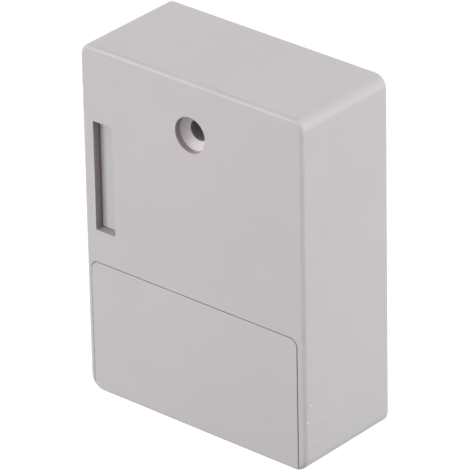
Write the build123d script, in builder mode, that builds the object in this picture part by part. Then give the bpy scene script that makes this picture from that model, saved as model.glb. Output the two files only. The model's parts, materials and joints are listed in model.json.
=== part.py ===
from build123d import *
import math
import os

os.makedirs("parts", exist_ok=True)

# The lock stands on its bottom: X to the right, Y from the front face to the back, Z up.
# A depth is measured from the front face, a side is an X and a height is a Z.

# Driving dimensions of the case
lock_width = 65.8
lock_depth = 29.6
lock_height = 90.0
shell_wall = 2.0
corner_radius = 3.0
lower_corner_radius = 3.8
front_edge_radius = 1.0

# Gaps and fits
panel_gap = 0.15
slide_clearance = 0.3
running_clearance = 0.05
press_clearance = 0.02
overrun = 1.0

# Mounting holes, one above the other on the middle line
mount_hole_radius = 2.6
mount_hole_spacing = 70.0
lower_hole_height = 6.5
screw_seat_radius = 4.45
screw_seat_depth = 1.5
lower_seat_radius = 3.9
upper_sleeve_radius = 6.2
lower_sleeve_radius = 4.0

# Slot for the strike, and the chute behind it
slot_from_side = 3.35
slot_width = 5.9
slot_height = 28.1
slot_middle_height = 56.9
slot_lip_depth = 2.6
chute_wall = 1.4
chute_relief = 1.0
chute_board_room = 4.0
retainer_thickness = 1.5
retainer_boss_radius = 2.1
retainer_boss_offset = 1.6

# Ejector and its springs
ejector_face_depth = 2.1
ejector_side_gap = 0.15
ejector_face_thickness = 1.5
ejector_skirt_end_depth = 7.8
ejector_skirt_wall = 0.9
ejector_edge_radius = 0.2
ejector_boss_radius = 0.8
ejector_boss_length = 1.6
ejector_spring_wire = 0.25
ejector_spring_radius = 1.25
ejector_spring_turns = 8
ejector_spring_spacing = 19.0

# Battery cover
cover_seam = 0.11
cover_play = 0.06
cover_drop = 0.07
cover_side_border = 1.89
cover_middle_side = -0.365
cover_height = 34.24
cover_corner_radius = 2.0
cover_edge_round = 0.15
seam_bevel_angle = 45
cover_thickness = 2.0
cover_lip_depth = 14.0
rail_from_side = 3.2
rail_thickness = 1.0
rail_end_depth = 5.0
rail_tongue_width = 0.7
rail_tongue_thickness = 1.0
rail_top_height = 30.0
cover_tongue_width = 24.0
cover_tongue_thickness = 1.0
cover_tongue_root = 2.0
cover_tongue_reach = 1.2

# Battery bay: two cells across the case
cell_length = 44.5
cell_radius = 5.25
cell_edge_radius = 0.4
cell_nub_radius = 1.9
cell_nub_length = 0.8
cell_pitch = 11.0
cell_middle_depth = 8.65
cell_room = 0.25
upper_cell_height = 27.1
spring_room = 5.6
contact_thickness = 0.4
contact_size = 8.0
contact_tail_width = 2.0
contact_tail_reach = 1.8
cell_spring_wire = 0.6
cell_spring_radius = 2.7
cell_spring_turns = 3
bay_floor_depth = 14.0
bay_wall = 1.5
bay_top_wall = 4.0
ledge_depth = 6.0
ledge_floor = 1.2

# Posts, screws and the back plate
back_plate_thickness = 2.0
post_radius = 3.0
post_from_side = 5.5
screw_radius = 1.1
screw_length = 7.0
screw_head_radius = 2.0
screw_head_height = 1.1
screw_recess_width = 0.5
screw_recess_length = 2.2
screw_recess_depth = 0.6

# Circuit board
board_thickness = 1.2
board_back_room = 2.4
board_width = 58.4
board_bottom_height = 11.2
board_top_height = 80.4
board_corner_radius = 1.5
board_tab_width = 12.0
board_tab_bottom_height = 2.8
board_post_radius = 2.3
board_post_side = 14.0
board_post_height = 77.3
low_post_side = 25.0
low_post_height = 21.6
antenna_thickness = 0.1
antenna_track_width = 0.8
antenna_pitch = 1.7
antenna_turns = 5
antenna_width = 50.0
antenna_height = 40.0
antenna_middle_height = 47.0

# Learn button and its switch
button_side = 14.0
button_radius = 2.0
button_stand_out = 0.4
button_flange_radius = 2.4
button_flange_thickness = 1.0
button_stem_radius = 1.2
button_guide_width = 7.0
button_guide_board_room = 8.5
switch_width = 6.0
switch_body_depth = 3.6
plunger_radius = 1.7
plunger_reach = 0.9
plunger_inside = 0.6
plunger_well = 1.2

# Latch bolt and its carriage
bolt_height = 10.0
bolt_thickness = 4.0
bolt_length = 12.0
bolt_front_depth = 9.0
bolt_tip_chamfer = 0.6
bolt_throw = 5.5
bolt_tail_seat = 4.5
bolt_pin_radius = 0.75
carriage_wall = 1.0
carriage_plate_thickness = 3.0
rack_pitch_height = 50.0
rack_teeth_before = 2
rack_teeth_after = 6
rack_end_margin = 0.4
flag_left_side = -1.0
flag_width = 3.0
flag_thickness = 1.0
flag_height = 57.9
flag_sensor_room = 1.6

# Gear train: the axles run from front to back, side by side at one height
final_module = 0.5
train_module = 0.4
final_pinion_teeth = 12
train_pinion_teeth = 10
wheel_teeth = 38
pressure_angle = 25
addendum_share = 0.8
dedendum_share = 1.05
flank_clearance = 0.03
final_axle_side = -2.0
wheel_thickness = 2.0
wheel_gap = 0.5
axle_radius = 0.8
axle_seat = 1.0
hub_radius = 1.45

# Frame and cover of the drive
frame_front_depth = 3.6
frame_plate = 1.4
frame_left_side = -21.2
frame_right_side = 28.6
frame_bottom_height = 37.2
frame_top_height = 68.6
frame_corner_radius = 1.5
frame_inside_depth = 9.4
frame_rail = 1.45
frame_post_radius = 2.3
frame_post_inset = 2.7
frame_left_post_side = -14.5
frame_top_post_side = -4.0
frame_right_post_height = 58.0
boss_pilot_depth = 1.4

# Motor
motor_width = 12.0
motor_height = 10.0
motor_front_depth = 9.5
motor_board_room = 2.5
motor_cap_thickness = 1.4
motor_can_wall = 0.5
motor_shaft_radius = 0.5
motor_shaft_clearance = 0.3
motor_pinion_length = 3.2
motor_bearing_radius = 1.6
motor_bearing_length = 1.0
motor_terminal_spacing = 6.4
motor_terminal_width = 1.6
motor_terminal_thickness = 0.3
motor_terminal_length = 1.7
motor_shelf = 3.0

# Electronic pieces on the board
chip_leg_width = 0.4
chip_leg_pitch = 1.27
chip_leg_reach = 0.9
controller_width = 7.5
controller_length = 12.8
controller_thickness = 2.4
controller_side = 2.0
controller_height = 47.5
controller_legs = 10
driver_width = 3.9
driver_length = 4.9
driver_thickness = 1.6
driver_side = 15.0
driver_height = 33.0
driver_legs = 4
reader_width = 5.0
reader_thickness = 0.9
reader_leg_pitch = 0.65
reader_leg_reach = 0.3
reader_side = -14.0
reader_height = 50.0
reader_legs = 6
crystal_length = 11.0
crystal_width = 4.6
crystal_thickness = 3.4
crystal_side = -14.0
crystal_height = 30.0
capacitor_radius = 3.15
capacitor_length = 5.4
capacitor_base = 1.0
capacitor_side = -10.5
capacitor_height = 71.2
buzzer_radius = 4.5
buzzer_length = 4.5
buzzer_hole_radius = 0.8
buzzer_side = 24.5
buzzer_height = 75.5
sensor_left_side = -7.0
sensor_width = 4.0
sensor_length = 7.0
sensor_slot = 2.0
sensor_cover_room = 2.7
sensor_base = 2.0
connector_width = 6.0
connector_height = 4.5
connector_depth = 3.4
connector_wall = 0.7
connector_pin_pitch = 2.5
motor_connector_side = 16.4
motor_connector_height = 71.5
battery_connector_side = 12.0
battery_connector_height = 22.6
small_part_length = 1.6
small_part_width = 0.8
small_part_thickness = 0.5
small_part_shares = [
    (-0.40, 0.47), (-0.36, 0.55), (-0.40, 0.51), (-0.30, 0.62), (-0.24, 0.62), (-0.17, 0.62),
    (0.20, 0.62), (0.26, 0.50), (0.33, 0.50), (0.40, 0.50), (0.20, 0.80), (0.40, 0.72),
    (-0.10, 0.86), (-0.16, 0.80), (0.12, 0.86), (0.36, 0.06), (0.42, 0.30),
]

# Wires
wire_radius = 0.5
wire_bend = 1.6
wire_run = 4.0

# Sides, depths and heights that the pieces share
half_width = lock_width / 2
inner_side = half_width - shell_wall
upper_hole_height = lower_hole_height + mount_hole_spacing
back_plate_depth = lock_depth - back_plate_thickness
board_back_depth = back_plate_depth - board_back_room
board_depth = board_back_depth - board_thickness
chute_end_depth = board_depth - chute_board_room
motor_length = board_depth - motor_board_room - motor_front_depth
button_guide_back_depth = board_depth - button_guide_board_room
slot_left = -half_width + slot_from_side
slot_right = slot_left + slot_width
slot_middle = (slot_left + slot_right) / 2
slot_bottom = slot_middle_height - slot_height / 2
slot_top = slot_middle_height + slot_height / 2
chamber_bottom = slot_bottom - chute_relief
chamber_top = slot_top + chute_relief
chute_right = slot_right + chute_wall
chute_bottom = chamber_bottom - chute_wall
chute_top = chamber_top + chute_wall
retainer_boss_heights = [chute_bottom - retainer_boss_offset, chute_top + retainer_boss_offset]
cover_side = half_width - cover_side_border - cover_seam / 2
cover_recess_side = cover_side + cover_seam
cover_recess_depth = cover_thickness + panel_gap
lower_cell_height = upper_cell_height - cell_pitch
pocket_side = (cell_length + spring_room) / 2 + contact_thickness
pocket_bottom = lower_cell_height - cell_radius - cell_room
pocket_top = upper_cell_height + cell_radius + cell_room
bay_top = pocket_top + bay_top_wall
bay_back_depth = bay_floor_depth + bay_wall
cell_end_side = pocket_side - contact_thickness
contact_tail_depth = bay_back_depth + contact_tail_reach
rail_outer_side = half_width - rail_from_side
rail_inner_side = rail_outer_side - rail_thickness
post_side = half_width - post_from_side
post_heights = [post_from_side, lock_height - post_from_side]
board_post_places = [
    (-board_post_side, board_post_height, shell_wall),
    (board_post_side, board_post_height, shell_wall),
    (-low_post_side, low_post_height, bay_floor_depth),
    (low_post_side, low_post_height, bay_floor_depth),
]
bolt_tip_side = slot_right + panel_gap
bolt_tail_side = bolt_tip_side + bolt_length
bolt_back_depth = bolt_front_depth + bolt_thickness
bolt_bottom = slot_middle_height - bolt_height / 2
bolt_top = slot_middle_height + bolt_height / 2
bolt_pin_side = bolt_tail_side - bolt_tail_seat / 2
head_left = bolt_tail_side - bolt_tail_seat
head_right = bolt_tail_side + running_clearance + carriage_wall
head_front_depth = bolt_front_depth - running_clearance - carriage_wall
head_back_depth = bolt_back_depth + running_clearance + carriage_wall
head_bottom = bolt_bottom - running_clearance - carriage_wall
head_top = bolt_top + running_clearance + carriage_wall
frame_inner_depth = frame_front_depth + frame_plate
cover_plate_depth = frame_inner_depth + frame_inside_depth
cover_plate_back_depth = cover_plate_depth + frame_plate
rack_plate_back_depth = cover_plate_depth - 2 * wheel_gap
rack_plate_depth = rack_plate_back_depth - carriage_plate_thickness
final_wheel_depth = rack_plate_depth - wheel_gap - wheel_thickness
train_wheel_depth = final_wheel_depth - wheel_gap - wheel_thickness
final_pinion_radius = final_module * final_pinion_teeth / 2
axle_height = rack_pitch_height - final_pinion_radius
train_distance = train_module * (wheel_teeth + train_pinion_teeth) / 2
train_axle_side = final_axle_side + train_distance
motor_side = train_axle_side + train_distance
rack_tooth_pitch = math.pi * final_module
rack_right = final_axle_side + rack_teeth_after * rack_tooth_pitch + rack_end_margin
rack_root_height = rack_pitch_height + dedendum_share * final_module
carriage_bottom = min(head_bottom, rack_root_height)
motor_back_depth = motor_front_depth + motor_length
sensor_front_depth = cover_plate_back_depth + sensor_cover_room
flag_end_depth = board_depth - sensor_base - flag_sensor_room
frame_post_places = [
    (frame_left_post_side, frame_bottom_height + frame_post_inset),
    (frame_right_side - frame_post_inset, frame_bottom_height + frame_post_inset),
    (frame_right_side - frame_post_inset, frame_right_post_height),
    (frame_top_post_side, frame_top_height - frame_post_inset),
]
button_end_depth = board_depth - switch_body_depth - plunger_reach


def y_at(depth):
    return depth - lock_depth / 2


def front_plane(depth, side=0, height=0):
    """The plane at a depth, seen from the front: local x is +X and local y is +Z."""
    return Plane(origin=(side, y_at(depth), height), x_dir=(1, 0, 0), z_dir=(0, -1, 0))


def block(left, right, front, back, bottom, top, mode=Mode.ADD):
    """A block between two sides, two depths and two heights."""
    with Locations(((left + right) / 2, y_at((front + back) / 2), (bottom + top) / 2)):
        Box(right - left, back - front, top - bottom, mode=mode)


def rod(side, height, front, back, radius, mode=Mode.ADD):
    """A cylinder that runs from front to back."""
    with Locations(Location((side, y_at(back), height), (90, 0, 0))):
        Cylinder(radius, back - front, align=(Align.CENTER, Align.CENTER, Align.MIN), mode=mode)


def cone(side, height, front, back, front_radius, back_radius, mode=Mode.ADD):
    """A cone that runs from front to back."""
    with Locations(Location((side, y_at(back), height), (90, 0, 0))):
        Cone(
            back_radius,
            front_radius,
            back - front,
            align=(Align.CENTER, Align.CENTER, Align.MIN),
            mode=mode,
        )


def cross_rod(left, right, depth, height, radius, mode=Mode.ADD):
    """A cylinder that runs from left to right."""
    with Locations(Location((left, y_at(depth), height), (0, 90, 0))):
        Cylinder(radius, right - left, align=(Align.CENTER, Align.CENTER, Align.MIN), mode=mode)


def lock_form():
    """The outer form of the whole case, with its round corners and front edge."""
    Box(lock_width, lock_depth, lock_height, align=(Align.CENTER, Align.CENTER, Align.MIN))
    fillet(edges().filter_by(Axis.Y).group_by(Axis.Z)[-1], radius=corner_radius)
    fillet(edges().filter_by(Axis.Y).group_by(Axis.Z)[0], radius=lower_corner_radius)
    fillet(edges().group_by(Axis.Y)[0], radius=front_edge_radius)


def cover_prism(depth, side, top, room, lean, mode):
    """The outline of the battery cover, wider by the room, carried forward from a depth."""
    with BuildSketch(front_plane(depth, side, 0)) as outline:
        RectangleRounded(
            2 * (cover_side + room), 2 * (top + room), cover_corner_radius + room
        )
    extrude(outline.sketch, amount=depth + overrun, taper=lean, mode=mode)


def pan_screw(side, height, seat, length):
    """A screw driven from the back: seat is the depth under its head."""
    head_end = seat + screw_head_height
    arm = screw_recess_length / 2
    slot = screw_recess_width / 2
    bottom = head_end - screw_recess_depth
    rod(side, height, seat - length, seat, screw_radius)
    rod(side, height, seat, head_end, screw_head_radius)
    block(side - arm, side + arm, bottom, head_end + overrun, height - slot, height + slot,
          Mode.SUBTRACT)
    block(side - slot, side + slot, bottom, head_end + overrun, height - arm, height + arm,
          Mode.SUBTRACT)


def flat_screw(side, height, back, length):
    """A countersunk screw whose head is level with the depth called back."""
    arm = screw_recess_length / 2
    slot = screw_recess_width / 2
    bottom = back - screw_recess_depth
    rod(side, height, back - length, back - screw_head_height, screw_radius)
    cone(side, height, back - screw_head_height, back, screw_radius, screw_head_radius)
    block(side - arm, side + arm, bottom, back + overrun, height - slot, height + slot,
          Mode.SUBTRACT)
    block(side - slot, side + slot, bottom, back + overrun, height - arm, height + arm,
          Mode.SUBTRACT)


def coil(plane, radius, length, turns, wire):
    """A round wire wound about the plane's normal, on two tangent arcs for each half turn."""
    def spot(angle):
        return Vector(
            radius * math.cos(angle), radius * math.sin(angle), length * angle / (math.tau * turns)
        )

    def way(angle):
        rise = length / (math.tau * turns)
        return Vector(-radius * math.sin(angle), radius * math.cos(angle), rise).normalized()

    with BuildLine() as path:
        for step in range(2 * turns):
            first, last = step * math.pi, (step + 1) * math.pi
            span = spot(last) - spot(first)
            bend = 2 * (1 - way(first).dot(way(last)))
            lean = span.dot(way(first) + way(last))
            reach = (math.sqrt(lean**2 + bend * span.dot(span)) - lean) / bend
            knee_start = spot(first) + way(first) * reach
            knee_end = spot(last) - way(last) * reach
            knee = (knee_start + knee_end) / 2
            TangentArc(spot(first), knee, tangent=way(first))
            TangentArc(knee, spot(last), tangent=(knee_end - knee_start).normalized())
    route = plane.from_local_coords(path.wire())
    with BuildSketch(Plane(origin=route @ 0, z_dir=route % 0)) as section:
        Circle(wire / 2)
    sweep(section.sketch, path=route)
    print("coil gap between turns", round(length / turns - wire, 3))


def insulated_wire(points):
    """A round wire along straight runs joined by arcs; points are side, depth and height."""
    with BuildLine() as path:
        FilletPolyline(*[(side, y_at(depth), height) for side, depth, height in points],
                       radius=wire_bend)
    route = path.wire()
    with BuildSketch(Plane(origin=route @ 0, z_dir=route % 0)) as section:
        Circle(wire_radius)
    sweep(section.sketch, path=route)


def toothed_disc(side, height, front, back, module, teeth, first_tooth):
    """A spur gear with involute flanks; first_tooth is the direction of one tooth in degrees."""
    pitch_radius = module * teeth / 2
    base_radius = pitch_radius * math.cos(math.radians(pressure_angle))
    tip_radius = pitch_radius + addendum_share * module
    root_radius = pitch_radius - dedendum_share * module
    flank_radius = max(base_radius, root_radius)
    middle_radius = (flank_radius + tip_radius) / 2

    def unwound(radius):
        turned = math.acos(base_radius / radius)
        return math.tan(turned) - turned

    def half_tooth(radius):
        at_pitch = math.pi / (2 * teeth) - flank_clearance / pitch_radius
        return at_pitch + unwound(pitch_radius) - unwound(radius)

    def spot(radius, angle):
        return (radius * math.cos(angle), radius * math.sin(angle))

    with BuildSketch(front_plane(front, side, height)) as profile:
        with BuildLine():
            for tooth in range(teeth):
                middle = math.radians(first_tooth) + math.tau * tooth / teeth
                step = math.tau / teeth
                foot = half_tooth(flank_radius)
                waist = half_tooth(middle_radius)
                tip = half_tooth(tip_radius)
                if flank_radius > root_radius:
                    Line(spot(root_radius, middle - foot), spot(flank_radius, middle - foot))
                ThreePointArc(
                    spot(flank_radius, middle - foot),
                    spot(middle_radius, middle - waist),
                    spot(tip_radius, middle - tip),
                )
                ThreePointArc(
                    spot(tip_radius, middle - tip),
                    spot(tip_radius, middle),
                    spot(tip_radius, middle + tip),
                )
                ThreePointArc(
                    spot(tip_radius, middle + tip),
                    spot(middle_radius, middle + waist),
                    spot(flank_radius, middle + foot),
                )
                if flank_radius > root_radius:
                    Line(spot(flank_radius, middle + foot), spot(root_radius, middle + foot))
                ThreePointArc(
                    spot(root_radius, middle + foot),
                    spot(root_radius, middle + step / 2),
                    spot(root_radius, middle + step - foot),
                )
        make_face()
    extrude(profile.sketch, amount=front - back)


def chip(side, height, width, length, thickness, legs, leg_pitch, leg_reach):
    """A chip on the front of the board, with a row of legs on its left and right."""
    block(side - width / 2, side + width / 2, board_depth - thickness, board_depth,
          height - length / 2, height + length / 2)
    for leg in range(legs):
        leg_height = height + (leg - (legs - 1) / 2) * leg_pitch
        block(side - width / 2 - leg_reach, side + width / 2 + leg_reach,
              board_depth - thickness / 2, board_depth,
              leg_height - chip_leg_width / 2, leg_height + chip_leg_width / 2)


def connector(side, height):
    """A two-way wire connector on the front of the board, open towards the front."""
    left, right = side - connector_width / 2, side + connector_width / 2
    bottom, top = height - connector_height / 2, height + connector_height / 2
    front = board_depth - connector_depth
    block(left, right, front, board_depth, bottom, top)
    block(left + connector_wall, right - connector_wall, front - overrun, front + connector_wall,
          bottom + connector_wall, top - connector_wall, Mode.SUBTRACT)


# Case

with BuildPart() as front_housing:
    lock_form()
    with BuildSketch(front_plane(shell_wall, 0, lock_height / 2)):
        RectangleRounded(
            lock_width - 2 * shell_wall, lock_height - 2 * shell_wall, corner_radius - shell_wall
        )
    extrude(amount=-lock_depth, mode=Mode.SUBTRACT)

    # Battery bay: a thick-walled block with a pocket for the cells and a stepped ledge below
    block(-inner_side, inner_side, shell_wall, bay_back_depth, shell_wall, bay_top)
    block(-pocket_side, pocket_side, -overrun, bay_floor_depth, pocket_bottom, pocket_top,
          Mode.SUBTRACT)
    block(-pocket_side, pocket_side, -overrun, ledge_depth, cover_recess_depth, pocket_bottom,
          Mode.SUBTRACT)
    block(-pocket_side, pocket_side, ledge_depth + bay_wall, bay_back_depth + overrun,
          cover_recess_depth + ledge_floor, pocket_bottom - bay_wall, Mode.SUBTRACT)

    # Seat of the battery cover, its rail channels and the slot for its top tongue
    cover_prism(cover_recess_depth, cover_middle_side, cover_height, cover_seam, 0,
                Mode.SUBTRACT)
    cover_prism(cover_edge_round, cover_middle_side, cover_height, cover_seam,
                -seam_bevel_angle, Mode.SUBTRACT)
    block(cover_middle_side - cover_recess_side, cover_middle_side + cover_recess_side, -overrun,
          cover_lip_depth + panel_gap, -overrun, cover_recess_depth, Mode.SUBTRACT)
    for hand in (-1, 1):
        channel = sorted((hand * (rail_inner_side - slide_clearance),
                          hand * (rail_outer_side + slide_clearance)))
        groove = sorted((hand * rail_inner_side,
                         hand * (rail_outer_side + rail_tongue_width + slide_clearance)))
        block(channel[0], channel[1], -overrun, rail_end_depth + slide_clearance, -overrun,
              rail_top_height + slide_clearance, Mode.SUBTRACT)
        block(groove[0], groove[1], rail_end_depth - rail_tongue_thickness - slide_clearance,
              rail_end_depth + slide_clearance, -overrun, rail_top_height + slide_clearance,
              Mode.SUBTRACT)
    block(-cover_tongue_width / 2 - slide_clearance, cover_tongue_width / 2 + slide_clearance,
          shell_wall, cover_recess_depth + cover_tongue_thickness + slide_clearance,
          cover_height - cover_tongue_root - slide_clearance,
          cover_height + cover_tongue_reach + slide_clearance, Mode.SUBTRACT)

    # Slots in the bay floor for the tails of the two end contacts
    for tail_height in (upper_cell_height, lower_cell_height):
        block(cell_end_side - panel_gap, pocket_side + panel_gap, bay_floor_depth - overrun,
              bay_back_depth + overrun, tail_height - contact_tail_width / 2 - panel_gap,
              tail_height + contact_tail_width / 2 + panel_gap, Mode.SUBTRACT)

    # Posts for the board, the back plate and the drive
    for post_height, post_start in zip(post_heights, (bay_floor_depth, shell_wall)):
        for hand in (-1, 1):
            rod(hand * post_side, post_height, post_start, back_plate_depth, post_radius)
            rod(hand * post_side, post_height, back_plate_depth - screw_length, lock_depth,
                screw_radius + press_clearance, Mode.SUBTRACT)
    for side, height, start in board_post_places:
        rod(side, height, start, board_depth, board_post_radius)
        rod(side, height, board_back_depth - screw_length, lock_depth,
            screw_radius + press_clearance, Mode.SUBTRACT)
    for side, height in frame_post_places:
        rod(side, height, shell_wall, frame_front_depth, frame_post_radius)
        rod(side, height, boss_pilot_depth, frame_front_depth + overrun,
            screw_radius + press_clearance, Mode.SUBTRACT)

    # Sleeves round the two mounting holes
    rod(0, upper_hole_height, shell_wall, lock_depth, upper_sleeve_radius)
    rod(0, lower_hole_height, ledge_depth, lock_depth, lower_sleeve_radius)
    for height in (lower_hole_height, upper_hole_height):
        rod(0, height, -overrun, lock_depth + overrun, mount_hole_radius, Mode.SUBTRACT)
    rod(0, upper_hole_height, -overrun, screw_seat_depth, screw_seat_radius, Mode.SUBTRACT)
    cone(0, upper_hole_height, screw_seat_depth,
         screw_seat_depth + screw_seat_radius - mount_hole_radius,
         screw_seat_radius, mount_hole_radius, Mode.SUBTRACT)
    cone(0, lower_hole_height, ledge_depth, ledge_depth + lower_seat_radius - mount_hole_radius,
         lower_seat_radius, mount_hole_radius, Mode.SUBTRACT)

    # Hole and guide of the learn button, in the ledge
    block(button_side - button_guide_width / 2, button_side + button_guide_width / 2,
          button_guide_back_depth - bay_wall, button_guide_back_depth, shell_wall, pocket_bottom)
    rod(button_side, lower_hole_height, ledge_depth - overrun, ledge_depth + bay_wall + overrun,
        button_radius + running_clearance, Mode.SUBTRACT)
    rod(button_side, lower_hole_height, button_guide_back_depth - bay_wall - overrun,
        button_guide_back_depth + overrun, button_stem_radius + running_clearance, Mode.SUBTRACT)

    # Chute of the slot, with the window for the latch bolt
    block(-inner_side, chute_right, shell_wall, chute_end_depth, chute_bottom, chute_top)
    for height in retainer_boss_heights:
        rod(slot_middle, height, shell_wall, chute_end_depth, retainer_boss_radius)
        rod(slot_middle, height, chute_end_depth + retainer_thickness - screw_length,
            chute_end_depth + overrun, screw_radius + press_clearance, Mode.SUBTRACT)
    block(slot_left, slot_right, -overrun, slot_lip_depth, slot_bottom, slot_top, Mode.SUBTRACT)
    block(slot_left, slot_right, slot_lip_depth, chute_end_depth + overrun, chamber_bottom,
          chamber_top, Mode.SUBTRACT)
    block(slot_middle, chute_right + overrun, bolt_front_depth - panel_gap,
          bolt_back_depth + panel_gap, bolt_bottom - panel_gap, bolt_top + panel_gap,
          Mode.SUBTRACT)
front_housing.part.label = "front_housing"
export_step(front_housing.part, "parts/front_housing.step")

with BuildPart() as back_plate:
    with BuildSketch(front_plane(back_plate_depth, 0, lock_height / 2)):
        RectangleRounded(
            2 * (inner_side - panel_gap),
            lock_height - 2 * (shell_wall + panel_gap),
            corner_radius - shell_wall,
        )
    extrude(amount=-back_plate_thickness)
    rod(0, upper_hole_height, back_plate_depth - overrun, lock_depth + overrun,
        upper_sleeve_radius + panel_gap, Mode.SUBTRACT)
    rod(0, lower_hole_height, back_plate_depth - overrun, lock_depth + overrun,
        lower_sleeve_radius + panel_gap, Mode.SUBTRACT)
    block(-lower_sleeve_radius - panel_gap, lower_sleeve_radius + panel_gap,
          back_plate_depth - overrun, lock_depth + overrun, 0, lower_hole_height, Mode.SUBTRACT)
    for post_height in post_heights:
        for hand in (-1, 1):
            rod(hand * post_side, post_height, back_plate_depth - overrun, lock_depth + overrun,
                screw_radius + running_clearance, Mode.SUBTRACT)
            cone(hand * post_side, post_height, lock_depth - screw_head_height, lock_depth,
                 screw_radius + running_clearance, screw_head_radius + running_clearance,
                 Mode.SUBTRACT)
back_plate.part.label = "back_plate"
export_step(back_plate.part, "parts/back_plate.step")

with BuildPart() as back_plate_screws:
    for post_height in post_heights:
        for hand in (-1, 1):
            flat_screw(hand * post_side, post_height, lock_depth, screw_length)
back_plate_screws.part.label = "back_plate_screws"
export_step(back_plate_screws.part, "parts/back_plate_screws.step")

with BuildPart() as battery_cover:
    lock_form()
    cover_prism(cover_lip_depth, cover_middle_side - cover_play, cover_height - cover_drop, 0, 0,
                Mode.INTERSECT)
    front_outline = faces().sort_by(Axis.Y)[0].edges().sort_by(Axis.Z)[1:]
    fillet(front_outline, radius=cover_edge_round)
    block(-half_width, half_width, cover_thickness, lock_depth, cover_thickness, lock_height,
          Mode.SUBTRACT)
    for hand in (-1, 1):
        rail = sorted((hand * rail_inner_side, hand * rail_outer_side))
        tongue = sorted((hand * rail_inner_side, hand * (rail_outer_side + rail_tongue_width)))
        block(rail[0], rail[1], cover_thickness, rail_end_depth, cover_thickness, rail_top_height)
        block(tongue[0], tongue[1], rail_end_depth - rail_tongue_thickness, rail_end_depth,
              cover_thickness, rail_top_height)
    block(-cover_tongue_width / 2, cover_tongue_width / 2, cover_thickness,
          cover_recess_depth + cover_tongue_thickness, cover_height - cover_tongue_root,
          cover_height)
    block(-cover_tongue_width / 2, cover_tongue_width / 2, cover_recess_depth,
          cover_recess_depth + cover_tongue_thickness, cover_height - cover_tongue_root,
          cover_height + cover_tongue_reach)
battery_cover.part.label = "battery_cover"
export_step(battery_cover.part, "parts/battery_cover.step")

# Battery bay

with BuildPart() as battery_upper:
    cross_rod(cell_end_side - cell_length, cell_end_side - cell_nub_length, cell_middle_depth,
              upper_cell_height, cell_radius)
    fillet(edges().filter_by(GeomType.CIRCLE), radius=cell_edge_radius)
    cross_rod(cell_end_side - cell_nub_length, cell_end_side, cell_middle_depth,
              upper_cell_height, cell_nub_radius)
battery_upper.part.label = "battery_upper"
export_step(battery_upper.part, "parts/battery_upper.step")

with BuildPart() as battery_lower:
    cross_rod(-cell_end_side + cell_nub_length, -cell_end_side + cell_length, cell_middle_depth,
              lower_cell_height, cell_radius)
    fillet(edges().filter_by(GeomType.CIRCLE), radius=cell_edge_radius)
    cross_rod(-cell_end_side, -cell_end_side + cell_nub_length, cell_middle_depth,
              lower_cell_height, cell_nub_radius)
battery_lower.part.label = "battery_lower"
export_step(battery_lower.part, "parts/battery_lower.step")

with BuildPart() as link_contact:
    block(-pocket_side, -cell_end_side, cell_middle_depth - contact_size / 2,
          cell_middle_depth + contact_size / 2, lower_cell_height - contact_size / 2,
          upper_cell_height + contact_size / 2)
link_contact.part.label = "link_contact"
export_step(link_contact.part, "parts/link_contact.step")


def end_contact(height):
    """A flat contact at the right end of a cell, with a tail through the bay floor."""
    block(cell_end_side, pocket_side, cell_middle_depth - contact_size / 2,
          cell_middle_depth + contact_size / 2, height - contact_size / 2,
          height + contact_size / 2)
    block(cell_end_side, pocket_side, cell_middle_depth, contact_tail_depth,
          height - contact_tail_width / 2, height + contact_tail_width / 2)


with BuildPart() as positive_contact:
    end_contact(upper_cell_height)
positive_contact.part.label = "positive_contact"
export_step(positive_contact.part, "parts/positive_contact.step")

with BuildPart() as negative_contact:
    end_contact(lower_cell_height)
negative_contact.part.label = "negative_contact"
export_step(negative_contact.part, "parts/negative_contact.step")

with BuildPart() as link_spring:
    coil(Plane(origin=(-cell_end_side + cell_spring_wire / 2, y_at(cell_middle_depth),
                       upper_cell_height), x_dir=(0, 0, 1), z_dir=(1, 0, 0)),
         cell_spring_radius, spring_room - cell_spring_wire, cell_spring_turns, cell_spring_wire)
link_spring.part.label = "link_spring"
export_step(link_spring.part, "parts/link_spring.step")

with BuildPart() as negative_spring:
    coil(Plane(origin=(cell_end_side - cell_spring_wire / 2, y_at(cell_middle_depth),
                       lower_cell_height), x_dir=(0, 0, 1), z_dir=(-1, 0, 0)),
         cell_spring_radius, spring_room - cell_spring_wire, cell_spring_turns, cell_spring_wire)
negative_spring.part.label = "negative_spring"
export_step(negative_spring.part, "parts/negative_spring.step")

# Ejector, behind the slot

spring_heights = [slot_middle_height + hand * ejector_spring_spacing / 2 for hand in (-1, 1)]
ejector_left = slot_left + ejector_side_gap
ejector_right = slot_right - ejector_side_gap
ejector_back_depth = ejector_face_depth + ejector_face_thickness

with BuildPart() as ejector:
    block(ejector_left, ejector_right, ejector_face_depth, ejector_back_depth,
          slot_bottom + ejector_side_gap, slot_top - ejector_side_gap)
    fillet(faces().sort_by(Axis.Y)[0].edges(), radius=ejector_edge_radius)
    block(ejector_left, ejector_right, slot_lip_depth + panel_gap, ejector_skirt_end_depth,
          chamber_bottom + ejector_side_gap, chamber_top - ejector_side_gap)
    block(ejector_left + ejector_skirt_wall, ejector_right - ejector_skirt_wall,
          ejector_back_depth, ejector_skirt_end_depth + overrun,
          chamber_bottom + ejector_side_gap + ejector_skirt_wall,
          chamber_top - ejector_side_gap - ejector_skirt_wall, Mode.SUBTRACT)
    for height in spring_heights:
        rod(slot_middle, height, ejector_back_depth, ejector_back_depth + ejector_boss_length,
            ejector_boss_radius)
ejector.part.label = "ejector"
export_step(ejector.part, "parts/ejector.step")


def ejector_spring(height):
    """One return spring, from the back of the ejector to the retainer."""
    coil(front_plane(chute_end_depth - ejector_spring_wire / 2, slot_middle, height),
         ejector_spring_radius, chute_end_depth - ejector_back_depth - ejector_spring_wire,
         ejector_spring_turns, ejector_spring_wire)


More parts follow.
